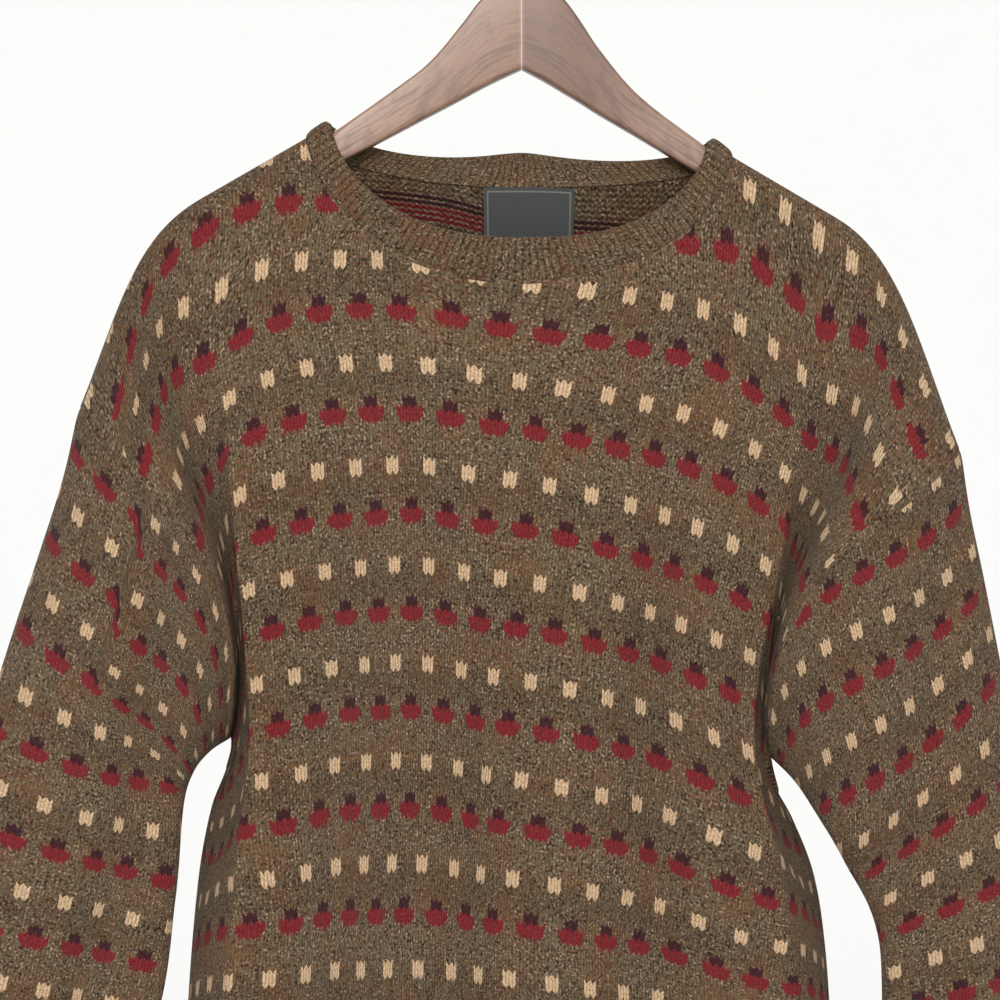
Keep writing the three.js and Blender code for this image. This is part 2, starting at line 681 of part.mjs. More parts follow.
// Wire hook: a stem, a bend out to one side, then most of a circle over the rail
function makeHook() {
  const radius = WIRE / 2;
  const centreLine = HOOK_RADIUS + radius;
  const middleZ = -HOOK_RADIUS;
  const path = [new THREE.Vector3(0, 0, WOOD_TOP + SEAM_GAP), new THREE.Vector3(0, 0, WOOD_TOP + 18)];
  const startAngle = -0.3 * Math.PI;
  const endAngle = 1.08 * Math.PI;
  const steps = 20;
  for (let k = 0; k <= steps; k += 1) {
    const angle = startAngle + ((endAngle - startAngle) * k) / steps;
    path.push(new THREE.Vector3(centreLine * Math.cos(angle), 0, middleZ + centreLine * Math.sin(angle)));
  }
  const curve = new THREE.CatmullRomCurve3(path, false, 'centripetal');
  const rings = [];
  const ringCount = 34;
  const ringSides = 8;
  const sideways = new THREE.Vector3(0, 1, 0);
  for (let i = 0; i <= ringCount; i += 1) {
    const centre = curve.getPointAt(i / ringCount);
    const across = curve.getTangentAt(i / ringCount).cross(sideways).normalize();
    const ring = [];
    for (let k = 0; k < ringSides; k += 1) {
      const angle = (2 * Math.PI * k) / ringSides;
      const point = centre.clone().addScaledVector(sideways, radius * Math.cos(angle));
      ring.push(point.addScaledVector(across, radius * Math.sin(angle)));
    }
    rings.push(ring);
  }
  return capped(rings);
}

// Finishes
const FINISHES = {
  knit: { color: '#6d5742', roughness: 0.95, metalness: 0 },
  rib: { color: '#5f4c38', roughness: 0.95, metalness: 0 },
  label: { color: '#4f4f52', roughness: 0.8, metalness: 0 },
  wood: { color: '#9a7358', roughness: 0.5, metalness: 0 },
  steel: { color: '#b8bbc0', roughness: 0.25, metalness: 1 },
};

const jumper = new THREE.Group();

function addPiece(name, geometry, finish) {
  const mesh = new THREE.Mesh(geometry, new THREE.MeshStandardMaterial(FINISHES[finish]));
  mesh.name = name;
  jumper.add(mesh);
}

const frontGrids = panelGrids(FRONT);
const backGrids = panelGrids(BACK);
const leftSleeve = sleeveGrids(LEFT);
const rightSleeve = sleeveGrids(RIGHT);

addPiece('front_panel', wall(frontGrids.outer, frontGrids.inner, false), 'knit');
addPiece('back_panel', wall(backGrids.outer, backGrids.inner, false), 'knit');
addPiece('sleeve_left', wall(leftSleeve.outer, leftSleeve.inner, true), 'knit');
addPiece('sleeve_right', wall(rightSleeve.outer, rightSleeve.inner, true), 'knit');
addPiece('neckband', makeNeckband(frontGrids, backGrids), 'rib');
addPiece('hem_rib', makeHem(frontGrids, backGrids), 'rib');
addPiece('cuff_left', makeCuff(leftSleeve), 'rib');
addPiece('cuff_right', makeCuff(rightSleeve), 'rib');
addPiece('neck_label', makeLabel(), 'label');
addPiece('hanger_left', makeHangerArm(LEFT), 'wood');
addPiece('hanger_right', makeHangerArm(RIGHT), 'wood');
addPiece('hook', makeHook(), 'steel');

export default jumper;
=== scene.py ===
"""A fair isle jumper with drop shoulders, hanging on a flat wooden hanger.

Lengths in the tables are millimetres of the hanging garment. Meshes are in metres.
The front faces -Y, the viewer's right is +X, and the origin is the seat of the hook.
"""

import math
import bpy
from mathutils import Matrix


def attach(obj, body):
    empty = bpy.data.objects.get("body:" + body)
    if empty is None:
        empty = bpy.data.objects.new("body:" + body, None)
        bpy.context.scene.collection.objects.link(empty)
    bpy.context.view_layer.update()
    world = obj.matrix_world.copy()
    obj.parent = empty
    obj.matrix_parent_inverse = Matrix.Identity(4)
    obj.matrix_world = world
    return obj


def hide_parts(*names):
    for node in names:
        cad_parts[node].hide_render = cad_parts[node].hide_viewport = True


bl_info = {
    "name": "Fair Isle Jumper",
    "version": (1, 0, 0),
    "blender": (4, 5, 0),
    "location": "View3D > Sidebar > Jumper",
    "description": "Knits a fair isle jumper round its packed solids and hangs it in a pale studio",
    "category": "Object",
}

import bpy
import numpy as np
from bpy.props import FloatProperty, FloatVectorProperty, IntProperty, PointerProperty
from mathutils import Vector

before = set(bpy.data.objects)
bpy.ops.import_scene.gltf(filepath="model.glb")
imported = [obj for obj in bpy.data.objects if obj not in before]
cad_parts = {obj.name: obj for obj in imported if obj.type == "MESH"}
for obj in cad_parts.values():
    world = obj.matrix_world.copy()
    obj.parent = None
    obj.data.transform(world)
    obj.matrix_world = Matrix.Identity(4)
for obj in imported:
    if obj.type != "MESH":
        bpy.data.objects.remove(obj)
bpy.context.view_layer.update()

MM = 0.001
LEFT, RIGHT = -1, 1
SIDE_NAMES = {LEFT: "left", RIGHT: "right"}
FRONT, BACK = -1, 1


def table(columns, *rows):
    """A table's named columns, as arrays."""
    return dict(zip(columns.split(), np.array(rows, float).T))


# Heights of the hanging jumper and the places of its seams
NECK_LEVEL = -166
HEM_SEAM = -815
ARMPIT_ROW = 0.358
CORNER = 190
SPREAD_ROW = 0.16
SHOULDER_NECK = {LEFT: -170.5, RIGHT: -181.5}
SHOULDER_SLOPE = 0.575
WRAP = 10.3
SEAM_GAP = 0.3
SEAM_OVERLAP = 0.9
SEAM_DIP = 1
SEAM_REACH = 3
BARE_SEAM = 2
BARE_FADE = 2
SLEEVE_LENGTH = 432

# Half width of the body's face by row, from the shoulder (0) to the hem seam (1)
FACE_WIDTH = table(
    "row left right",
    (0, 190, 186),
    (0.1, 184, 178),
    (0.2, 176, 166),
    (0.36, 166, 149),
    (0.45, 161, 138),
    (0.53, 159, 136),
    (0.64, 166, 150),
    (0.78, 172, 160),
    (1, 176, 166),
)

# How far a panel's middle stands off the plane of the hanger, by row
FACE_DEPTH = table(
    "row front back",
    (0, 11, 11),
    (0.1, 20, 16),
    (0.25, 37, 27),
    (0.45, 47, 38),
    (1, 52, 44),
)

# Way from the face's corner to the armhole seam or side seam, by row
SIDE_TURN = table(
    "row out inward up edge_out edge_in edge_up",
    (0, 39, 0, -22, -25, 0, 66),
    (0.1, 42, 2, -26, -10, 6, 56),
    (0.18, 36, 12, -38, 2, 18, 50),
    (0.27, 10, 20, -46, 4, 16, 44),
    (0.358, 0, 18, -56, -6, -9, 36),
    (0.378, -1, 19, -60, -7, -14, 13),
    (0.4, -2, 20, -62, -8, -15, 4),
    (0.45, 0, 20, -58, -5, -8, 2),
    (0.53, 4, 18, -44, -2, -16, 4),
    (0.64, 15, 10, -20, 2, -24, 4),
    (0.8, 20, 8, -8, 3, -24, 2),
    (1, 22, 6, 0, 4, -24, 0),
)

# Side seam from the armpit to the hem
SIDE_SEAM = table(
    "row left right y",
    (0.358, 170, 143, -18),
    (0.4, 175, 149, -13),
    (0.45, 184, 161, -4),
    (0.53, 191, 174, 0),
    (0.64, 195, 180, 0),
    (0.8, 198, 182, 0),
    (1, 198, 182, 0),
)

# Soft vertical folds of each face: place across the cut, row where each fades in, half width, height
FOLDS = {
    FRONT: table(
        "s start width height",
        (-150, 0.2, 20, -6),
        (-84, 0.12, 32, 13),
        (-20, 0.25, 24, -6),
        (45, 0.35, 28, 6),
        (100, 0.2, 24, -12),
        (150, 0.3, 22, 5),
    ),
    BACK: table(
        "s start width height",
        (-130, 0.25, 28, 9),
        (-62, 0.2, 30, -9),
        (12, 0.3, 30, 8),
        (82, 0.15, 28, -8),
        (142, 0.3, 24, 8),
    ),
}

FOLD_FADE = 0.25
FOLD_SHRINK = 0.31
CROWN = 0.12
SHOULDER_FALL = 60
SLACK_START = 20
SLACK_FADE = 80

# Armhole: top of the seam at the shoulder and its foot at the armpit
ARMHOLES = {
    LEFT: {"top": (262, -329), "foot": (170, -525)},
    RIGHT: {"top": (260, -354), "foot": (143, -534)},
}
ARMPIT_Y = -18
ARMPIT_GAP = 1
ARMHOLE_BOW = 31
ARMHOLE_DEPTH = {FRONT: 42, BACK: 36}
ARMPIT_TURN = 0.024
EDGE_TURN = 11

# Sleeve rings from the armhole (0) to the cuff seam (1): upper and under edge, and depth each way
SLEEVE_COLUMNS = "along over_x over_z under_x under_z y under_y front back"
SLEEVE_RINGS = {
    LEFT: table(
        SLEEVE_COLUMNS,
        (0, 262, -329, 170, -525, 0, -18, 42, 36),
        (0.1, 271, -371, 181, -532, -2, -28, 38, 34),
        (0.2, 284, -413, 190, -543, -4, -34, 32, 30),
        (0.34, 303, -471, 196, -562, -6, -36, 28, 26),
        (0.6, 337, -580, 201, -618, -10, -36, 25, 24),
        (0.8, 360, -665, 213, -690, -10, -32, 24, 23),
        (1, 374, -746, 250, -764, -10, -28, 22, 22),
    ),
    RIGHT: table(
        SLEEVE_COLUMNS,
        (0, 260, -354, 143, -534, 0, -18, 42, 36),
        (0.1, 265, -390, 158, -549, -2, -30, 38, 34),
        (0.2, 273, -430, 170, -567, -4, -36, 33, 31),
        (0.34, 285, -492, 186, -594, -6, -36, 29, 27),
        (0.6, 306, -600, 207, -640, -10, -34, 27, 26),
        (0.8, 321, -688, 211, -712, -10, -30, 26, 25),
        (1, 334, -770, 222, -786, -10, -26, 22, 22),
    ),
}
CUFF_TAPER = (0.9, 0.82)

# Long creases down the front of the drop shoulders and sleeves, by height
CREASES = {
    LEFT: table("z x", (-750, -300), (-676, -262), (-560, -224), (-440, -216), (-300, -222)),
    RIGHT: table("z x", (-770, 275), (-676, 240), (-600, 229), (-500, 238), (-400, 252)),
}
CREASE_WIDTH = 17
CREASE_DEPTH = 9
CREASE_FADE = 70

# Neck label, measured down the inside of the back from the shoulder line
LABEL_SPAN = (-23, 33)
LABEL_DROP = (38, 79)
LABEL_THICK = 0.8
LABEL_LIFT = 0.6


def metres(name, description, default, low, high):
    """A length for the sidebar."""
    return FloatProperty(
        name=name, description=description, default=default, min=low, max=high,
        subtype="DISTANCE", unit="LENGTH",
    )


def number(name, description, default, low, high):
    return IntProperty(name=name, description=description, default=default, min=low, max=high)


class JumperSizes(bpy.types.PropertyGroup):
    """Sizes of the cut and of the knit."""

    half_chest: metres("Half chest", "Half the width of a panel, laid flat", 0.310, 0.2, 0.45)
    neck_half: metres("Half neck", "Half the width of the neck opening at its seam", 0.128, 0.08, 0.18)
    front_neck_drop: metres("Front neck drop", "Depth of the front neck under the ridge", 0.090, 0.02, 0.15)
    back_neck_drop: metres("Back neck drop", "Depth of the back neck under the ridge", 0.038, 0.01, 0.08)
    wall: metres("Cloth", "Thickness of the knit", 0.0028, 0.001, 0.004)
    band_height: metres("Neckband", "Height of the neckband", 0.025, 0.01, 0.05)
    hem_height: metres("Hem", "Height of the ribbed hem", 0.062, 0.02, 0.1)
    cuff_height: metres("Cuff", "Height of the ribbed cuffs", 0.064, 0.02, 0.1)
    stitch: metres("Stitch", "Width of one stitch of the body across the cut", 0.00427, 0.002, 0.008)
    course: metres("Course", "Height of one course of stitches", 0.0029, 0.001, 0.006)
    neck_ribs: number("Neck ribs", "Ribs round the neckband", 132, 60, 200)
    hem_ribs: number("Hem ribs", "Ribs round the hem", 150, 60, 240)
    cuff_ribs: number("Cuff ribs", "Ribs round each cuff", 46, 20, 80)


def sizes():
    """The sizes that the panel shows."""
    return bpy.context.scene.jumper_sizes


def millimetres(length):
    """A length of the panel in millimetres."""
    return length / MM


def ease(x):
    """Smooth step from 0 to 1."""
    u = np.clip(x, 0, 1)
    return u * u * (3 - 2 * u)


def side_of(s):
    return np.where(np.asarray(s) < 0, LEFT, RIGHT)


def lookup(rows, place, column, at):
    """Smooth value of a named column of a table at a place along it."""
    x, y = rows[place], rows[column]
    slope = np.empty_like(y)
    slope[1:-1] = (y[2:] - y[:-2]) / (x[2:] - x[:-2])
    slope[0] = (y[1] - y[0]) / (x[1] - x[0])
    slope[-1] = (y[-1] - y[-2]) / (x[-1] - x[-2])
    at = np.clip(at, x[0], x[-1])
    i = np.clip(np.searchsorted(x, at) - 1, 0, len(x) - 2)
    step = x[i + 1] - x[i]
    u = (at - x[i]) / step
    rise = y[i + 1] - y[i]
    start, end = slope[i] * step, slope[i + 1] * step
    return y[i] + u * (start + u * (3 * rise - 2 * start - end + u * (start + end - 2 * rise)))


def by_side(s, rows, place, at):
    """A table's left or right column, as s lies left or right of the middle."""
    return np.where(s < 0, lookup(rows, place, "left", at), lookup(rows, place, "right", at))


# Shape of the body
def ridge_height(s):
    """Height of the shoulder line, extended across the neck."""
    half = millimetres(sizes().neck_half)
    neck = np.where(s < 0, SHOULDER_NECK[LEFT], SHOULDER_NECK[RIGHT])
    out = np.abs(s)
    across = NECK_LEVEL + (neck - NECK_LEVEL) * (out / half) ** 2
    return np.where(out >= half, neck - (out - half) * SHOULDER_SLOPE, across)


def neck_drop(face, s):
    """Depth of the neck scoop under the shoulder line."""
    drop = sizes().front_neck_drop if face == FRONT else sizes().back_neck_drop
    inside = np.maximum(0, 1 - (s / millimetres(sizes().neck_half)) ** 2)
    return millimetres(drop) * np.sqrt(inside)


def folded_run(folds, s, row):
    """Length of cloth that the folds take up between the middle and s."""
    run = s * np.ones_like(row)
    for middle, start, width, height in zip(*folds.values()):
        shrink = FOLD_SHRINK * (height * ease((row - start) / FOLD_FADE)) ** 2 / width
        run = run - shrink * (np.tanh(1.5 * (s - middle) / width) + np.tanh(1.5 * middle / width))
    return run


def face_point(face, s, start, row):
    """Points on the outside of a panel's face, and how far each lies below the shoulder line."""
    folds = FOLDS[face]
    ridge = ridge_height(s)
    below = start + row * (ridge - start - HEM_SEAM)
    level = below / (ridge - HEM_SEAM)
    half = by_side(s, FACE_WIDTH, "row", level)
    side = side_of(s)
    x = side * half * folded_run(folds, s, level) / folded_run(folds, side * CORNER, level)
    bend = np.minimum(below / WRAP, math.pi / 2)
    full = lookup(FACE_DEPTH, "row", "front" if face == FRONT else "back", level)
    crown = 1 - CROWN * (s / CORNER) ** 2
    depth = WRAP * np.sin(bend) + np.maximum(0, full * crown - WRAP) * ease(below / SHOULDER_FALL)
    for middle, begin, width, height in zip(*folds.values()):
        depth = depth + height * ease((level - begin) / FOLD_FADE) * np.exp(-(((s - middle) / width) ** 2))
    turned = below < WRAP * math.pi / 2
    over = np.where(turned, below - WRAP * (1 - np.cos(bend)), WRAP * (math.pi / 2 - 1))
    slack = over * (1 - ease((below - SLACK_START) / SLACK_FADE))
    return np.stack([x, face * depth, ridge - below + slack], -1), below


def armhole_point(face, side, angle):
    """Points on the armhole seam. The angle runs from 0 at the shoulder to pi at the armpit."""
    (top_x, top_z), (foot_x, foot_z) = ARMHOLES[side]["top"], ARMHOLES[side]["foot"]
    f = (1 - np.cos(angle)) / 2
    across, down = foot_x - top_x, foot_z - top_z
    chord = math.hypot(across, down)
    bow = ARMHOLE_BOW * np.sin(math.pi * f**1.35)
    x = top_x + across * f + down / chord * bow
    z = top_z + down * f - across / chord * bow
    y = ARMPIT_Y * f + face * ARMHOLE_DEPTH[face] * np.sin(angle)
    return np.stack([side * x, y, z], -1)


def crease_back(side, point):
    """How far the long crease pushes the front of a drop shoulder or sleeve back."""
    line = CREASES[side]
    middle = lookup(line, "z", "x", point[..., 2])
    fade = ease((line["z"][-1] + CREASE_FADE / 2 - point[..., 2]) / CREASE_FADE)
    return CREASE_DEPTH * fade * np.exp(-(((point[..., 0] - middle) / CREASE_WIDTH) ** 2))


def armhole_angle(row):
    return np.arccos(np.clip(1 - 2 * row / ARMPIT_ROW, -1, 1))


def edge_point(face, side, row):
    """Outer edge of a panel: armhole seam down to the armpit, then the side seam."""
    angle = armhole_angle(row)
    seam = armhole_point(face, side, angle)
    if face == FRONT:
        seam[..., 1] += crease_back(side, seam) * np.sin(angle)
    foot_z = ARMHOLES[side]["foot"][1]
    down = (row - ARMPIT_ROW) / (1 - ARMPIT_ROW)
    x = side * lookup(SIDE_SEAM, "row", SIDE_NAMES[side], row)
    y = lookup(SIDE_SEAM, "row", "y", row)
    below = np.stack([x, y, foot_z + (HEM_SEAM - foot_z) * down], -1)
    return np.where((row <= ARMPIT_ROW)[..., None], seam, below)


def panel_point(face, top, low, row):
    """Points on the outside of a panel on columns that run from top, at the neck seam, to low."""
    s = top + (low - top) * ease(row / SPREAD_ROW)
    half = millimetres(sizes().half_chest)
    neck = millimetres(sizes().neck_half)
    start = np.where(np.abs(top) < neck, neck_drop(face, top), 0)
    inner, below = face_point(face, s, start, row)
    side = side_of(s)
    w = np.clip((np.abs(s) - CORNER) / (half - CORNER), 0, 1)[..., None]
    corner, corner_below = face_point(face, side * float(CORNER), 0 * s, row)
    edge = np.where((s < 0)[..., None], edge_point(face, LEFT, row), edge_point(face, RIGHT, row))
    turn = {key: lookup(SIDE_TURN, "row", key, row) for key in SIDE_TURN}
    first = corner + np.stack([side * turn["out"], -face * turn["inward"], turn["up"]], -1)
    second = edge + np.stack([side * turn["edge_out"], -face * turn["edge_in"], turn["edge_up"]], -1)
    u = 1 - w
    outer = u**3 * corner + 3 * u * u * w * first + 3 * u * w * w * second + w**3 * edge
    if face == FRONT:
        back = np.where(s < 0, crease_back(LEFT, outer), crease_back(RIGHT, outer))
        ridged = (row > 0.02) & (row < ARMPIT_ROW)
        outer[..., 1] += np.where(ridged, back * (w * u)[..., 0] * 2, 0)
    point = np.where((np.abs(s) <= CORNER)[..., None], inner, outer)
    return point, s, below, corner, corner_below


# Stitches across the charted repeat, and courses down it
REPEAT = {"columns": 6, "courses": 20}

# How the knitted rows lie on the hanging body: how far each row stands above its height at the middle
ROW_DEPTHS = (0, 30, 60, 118, 234, 408, 649)
ROW_SHAPE = table(
    "x r0 r30 r60 r118 r234 r408 r649",
    (-205, -12, -14, -16, -45, -50, -14, 0),
    (-185, 2, 0, -2, -20, -30, -6, 0),
    (-165, 8, 8, 8, -4, -10, -2, 0),
    (-135, 14, 14, 14, 8, 1, 2, 0),
    (-110, 14, 14, 14, 12, 5, 9, 0),
    (-88, 13, 13, 13, 13, 7, 12, 0),
    (-65, 11, 11, 11, 11, 9, 13, 0),
    (-42, 8, 8, 8, 8, 6, 9, 0),
    (-20, 3, 3, 3, 3, 2, 3, 0),
    (0, 0, 0, 0, 0, 0, 0, 0),
    (25, -1, -2, -3, -4, -5, -4, 0),
    (50, -2, -3, -5, -6, -12, -9, 0),
    (74, -2, -3, -7, -11, -19, -16, 0),
    (100, -2, -3, -9, -17, -29, -27, 0),
    (128, -3, -4, -15, -31, -42, -38, 0),
    (150, -11, -14, -31, -47, -58, -45, 0),
    (166, -20, -25, -45, -63, -76, -48, 0),
    (186, -36, -41, -70, -97, -100, -50, 0),
    (205, -62, -72, -92, -125, -120, -50, 0),
)

# The same along the side seams below the armpits, by row
SIDE_ROWS = table(
    "row left right",
    (0.358, -74, -87),
    (0.45, -35, -75),
    (0.53, -12, -62),
    (0.64, -8, -50),
    (0.8, -6, -28),
    (1, 0, 0),
)
# Rows of the body that meet the armhole, by the way round it from the shoulder
SEAM_ROWS = {
    LEFT: table("run depth", (0, 26), (45, 60), (73, 116), (130, 175), (250, 300)),
    RIGHT: table("run depth", (0, 20), (38, 60), (96, 118), (160, 190), (250, 300)),
}
RIGHT_RIDGE_DIP = 13

# How far the knit slides sideways on the front, in repeats, by the place across and the depth of the row
DRIFT_DEPTHS = (60, 88, 118, 176, 234, 350, 408, 466)
DRIFT = table(
    "s d60 d88 d118 d176 d234 d350 d408 d466",
    (-200, 0.3, 0.1, -0.05, 0, 0, 0, 0.2, 0.67),
    (-150, 0.25, 0, -0.22, -0.07, -0.07, 0, 0.4, 0.77),
    (-125, 0.18, -0.1, -0.28, -0.09, -0.08, 0, 0.2, 0.5),
    (-100, 0.16, -0.2, -0.28, -0.12, -0.12, -0.2, 0, 0),
    (-75, 0.1, -0.35, -0.3, -0.14, -0.15, -0.35, -0.26, -0.35),
    (-45, 0.1, -0.1, -0.04, -0.13, -0.25, -0.5, -0.5, -0.6),
    (-15, 0.2, 0.2, 0.13, 0, -0.28, -0.72, -0.98, -1.14),
    (20, 0.5, 0.6, 0.39, 0.05, -0.15, -0.6, -0.85, -1.05),
    (50, 0.7, 0.9, 0.69, 0.25, 0.03, -0.34, -0.72, -1.05),
    (80, 0.7, 0.9, 0.72, 0.32, 0.2, -0.2, -0.65, -1.19),
    (105, 0.7, 0.8, 0.77, 0.31, 0.24, -0.11, -0.8, -1.16),
    (130, 0.65, 0.7, 0.77, 0.3, 0.15, 0.1, -0.7, -1.05),
    (155, 0.5, 0.6, 0.74, 0.3, 0.18, 0.3, -0.5, -1),
    (200, 0.1, 0.1, 0.3, 0.1, 0.2, 0.43, -0.34, -0.9),
)


def drift(s, depth):
    """Sideways slide of the knit, in repeats."""
    columns = [lookup(DRIFT, "s", f"d{each}", s) for each in DRIFT_DEPTHS]
    result = columns[0]
    for k in range(len(columns) - 1):
        upper, lower = DRIFT_DEPTHS[k : k + 2]
        result = result + np.clip((depth - upper) / (lower - upper), 0, 1) * (columns[k + 1] - columns[k])
    return result


def rows_down(x, z):
    """Depth in the knit, from the neck level down, of points of the body's face."""
    heights = []
    for depth in ROW_DEPTHS:
        shape = lookup(ROW_SHAPE, "x", f"r{depth}", x)
        heights.append(NECK_LEVEL - depth + shape)
    result = None
    for k in range(len(ROW_DEPTHS) - 1):
        share = (heights[k] - z) / (heights[k] - heights[k + 1])
        depth = ROW_DEPTHS[k] + share * (ROW_DEPTHS[k + 1] - ROW_DEPTHS[k])
        result = depth if result is None else np.where(share > 0, depth, result)
    return result


def edge_rows(face, side, row):
    """Depth in the knit along a panel's outer edge."""
    fine = np.linspace(0, math.pi, 200)
    seam = armhole_point(face, side, fine)
    run = np.concatenate([[0], np.cumsum(np.linalg.norm(np.diff(seam, axis=0), axis=1))])
    upper = lookup(SEAM_ROWS[side], "run", "depth", np.interp(armhole_angle(row), fine, run))
    foot_z = ARMHOLES[side]["foot"][1]
    z = foot_z + (HEM_SEAM - foot_z) * (row - ARMPIT_ROW) / (1 - ARMPIT_ROW)
    lower = NECK_LEVEL - z + lookup(SIDE_ROWS, "row", SIDE_NAMES[side], row)
    return np.where(row <= ARMPIT_ROW, upper, lower)


def panel_cut(face, s, below, corner, corner_below, row, point):
    """Place of each point in the knitted panel: across, and down its rows."""
    half = millimetres(sizes().half_chest)
    side = side_of(s)
    w = np.clip((np.abs(s) - CORNER) / (half - CORNER), 0, 1)
    inner = rows_down(point[..., 0], ridge_height(s) - below)
    at_corner = rows_down(corner[..., 0], ridge_height(side * float(CORNER)) - corner_below)
    at_edge = np.where(s < 0, edge_rows(face, LEFT, row), edge_rows(face, RIGHT, row))
    dip = RIGHT_RIDGE_DIP * np.where(s > 0, np.sin(math.pi * w), 0) * (1 - ease(row / 0.1))
    outer = (1 - w) * at_corner + w * at_edge - dip
    depth = np.where(np.abs(s) <= CORNER, inner, outer)
    slide = drift(s, depth) if face == FRONT else 0
    return np.stack([s - slide * REPEAT["columns"] * millimetres(sizes().stitch), depth], -1)


# Directions out of the cloth
def unit(v):
    return v / np.maximum(np.linalg.norm(v, axis=-1, keepdims=True), 1e-9)


def grid_normals(points, outwards):
    """Directions out of a grid of points. outwards is 1 or -1 as its rows and columns run."""
    down = np.gradient(points, axis=0)
    across = np.gradient(points, axis=1)
    return unit(np.cross(down, across)) * outwards


def ring_normal(axis, half, depth, face, angle):
    """Direction out of a flattened ring at an angle from its upper end."""
    normal = (np.cos(angle) * depth)[..., None] * axis
    normal[..., 1] += face * np.sin(angle) * half
    return unit(normal)


def armhole_normal(face, side, angle):
    (top_x, top_z), (foot_x, foot_z) = ARMHOLES[side]["top"], ARMHOLES[side]["foot"]
    axis = np.array([side * (top_x - foot_x), -ARMPIT_Y, top_z - foot_z], float)
    length = np.linalg.norm(axis)
    return ring_normal(axis / length, length / 2, ARMHOLE_DEPTH[face], face, angle)


def panel_normals(face, s, row, point):
    """Directions out of the cloth over a panel's whole grid, turning to those of its seams near its edges."""
    normal = grid_normals(point, -face)
    half = millimetres(sizes().half_chest)
    side = side_of(s)
    slope = np.gradient(point, axis=1)
    ridge = unit(np.stack([-slope[..., 2], 0 * s, slope[..., 0]], -1))
    on_ridge = (row == 0) & (np.abs(s) >= millimetres(sizes().neck_half))
    normal = np.where(on_ridge[..., None], ridge, normal)
    angle = armhole_angle(row)
    seam = np.where((s < 0)[..., None], armhole_normal(face, LEFT, angle), armhole_normal(face, RIGHT, angle))
    droop = 1 - ease((row - ARMPIT_ROW) / 0.1)
    outward = unit(np.stack([side + 0 * s, 0 * s, -0.9 * droop], -1))
    lower = ease((row - ARMPIT_ROW) / ARMPIT_TURN)[..., None]
    at_edge = unit(seam * (1 - lower) + outward * lower)
    near = ease(1 - (half - np.abs(s)) / EDGE_TURN)[..., None]
    normal = unit(normal * (1 - near) + at_edge * near)
    level = unit(normal * np.array([1, 1, 0]))
    return np.where((row >= 1)[..., None], level, normal)


NECK_COLUMNS = 44
SIDE_COLUMNS = 37
COLUMN_STEP = 4
LAST_COLUMN = 1.2
UPPER_ROWS = 92
LOWER_ROWS = 105


def panel_columns():
    """Columns of a panel: their places at the neck seam and further down, from left to right."""
    neck, half = millimetres(sizes().neck_half), millimetres(sizes().half_chest)
    share = np.linspace(0, 1, NECK_COLUMNS)
    beyond = np.arange(neck + COLUMN_STEP, CORNER, COLUMN_STEP)
    turned = CORNER + (half - CORNER) * np.linspace(0, 1, SIDE_COLUMNS)
    outer = np.concatenate([beyond, turned[:-1], [half - LAST_COLUMN, half]])
    tops = np.concatenate([neck * np.sin(share * math.pi / 2), outer])
    lows = np.concatenate([neck * share, outer])
    return np.concatenate([-tops[:0:-1], tops]), np.concatenate([-lows[:0:-1], lows])


def panel_rows():
    """Rows of a panel, close together at the shoulder line and the armpit."""
    upper = ARMPIT_ROW * (1 - np.cos(np.linspace(0, math.pi, UPPER_ROWS))) / 2
    lower = ARMPIT_ROW + (1 - ARMPIT_ROW) * np.linspace(0, 1, LOWER_ROWS)[1:] ** 1.15
    return np.concatenate([upper, lower])


def seam_dip(distance):
    """How far the outside of the cloth sinks next to a seam."""
    return SEAM_DIP * np.exp(-((distance / SEAM_REACH) ** 2))


def panel_grids(face):
    """A panel's outer and inner points, directions out, and places in the knit."""
    tops, lows = panel_columns()
    row, top = np.meshgrid(panel_rows(), tops, indexing="ij")
    low = np.broadcast_to(lows, top.shape)
    point, s, below, corner, corner_below = panel_point(face, top, low, row)
    cut = panel_cut(face, s, below, corner, corner_below, row, point)
    point = point - np.array([0, face * SEAM_GAP, 0])
    normal = panel_normals(face, s, row, point)
    neck = millimetres(sizes().neck_half)
    start = np.where(np.abs(top) < neck, neck_drop(face, top), 0)
    to_edge = np.minimum(millimetres(sizes().half_chest) - np.abs(s), below - start)
    to_edge = np.minimum(to_edge, (1 - row) * (NECK_LEVEL - HEM_SEAM))
    inner = point - normal * millimetres(sizes().wall)
    return {"outer": point - normal * seam_dip(to_edge)[..., None], "inner": inner, "normal": normal,
            "cut": cut, "edge": point, "seam": 1 - ease((to_edge - BARE_SEAM) / BARE_FADE)}


# Shape of the sleeves
SLEEVE_ROWS = {
    LEFT: table("along extra", (0, 0), (0.1, 45), (0.2, 63), (0.34, 58), (0.6, 3), (0.8, 0), (1, 0)),
    RIGHT: table("along extra", (0, 70), (0.1, 78), (0.2, 65), (0.34, 30), (0.6, 0), (0.8, 0), (1, 0)),
}
SLEEVE_START = 30

# Way round each sleeve from its upper edge, and the same in the knit: folds hide some of it
SLEEVE_AROUND = {
    LEFT: table(
        "run knit",
        (-260, -295), (0, -33), (18, -17), (51, 8.6), (80, 34.2), (104, 59.8), (122, 85.4), (260, 223),
    ),
    RIGHT: table("run knit", (-260, -276), (260, 244)),
}
# How much further down the knit lies than the way down the sleeve, by that way
SLEEVE_SLIP = {
    LEFT: table("down slip", (0, 6), (60, 10), (120, 14), (200, 10), (432, 10)),
    RIGHT: table("down slip", (0, 0), (50, 2), (120, 13), (250, 14), (432, 14)),
}
# The crease of the left sleeve hides some rows: how many millimetres of them, where, and how far down
LEFT_JUMP = {"rows": 20, "around": 79, "width": 6, "down": 90, "fade": 50}


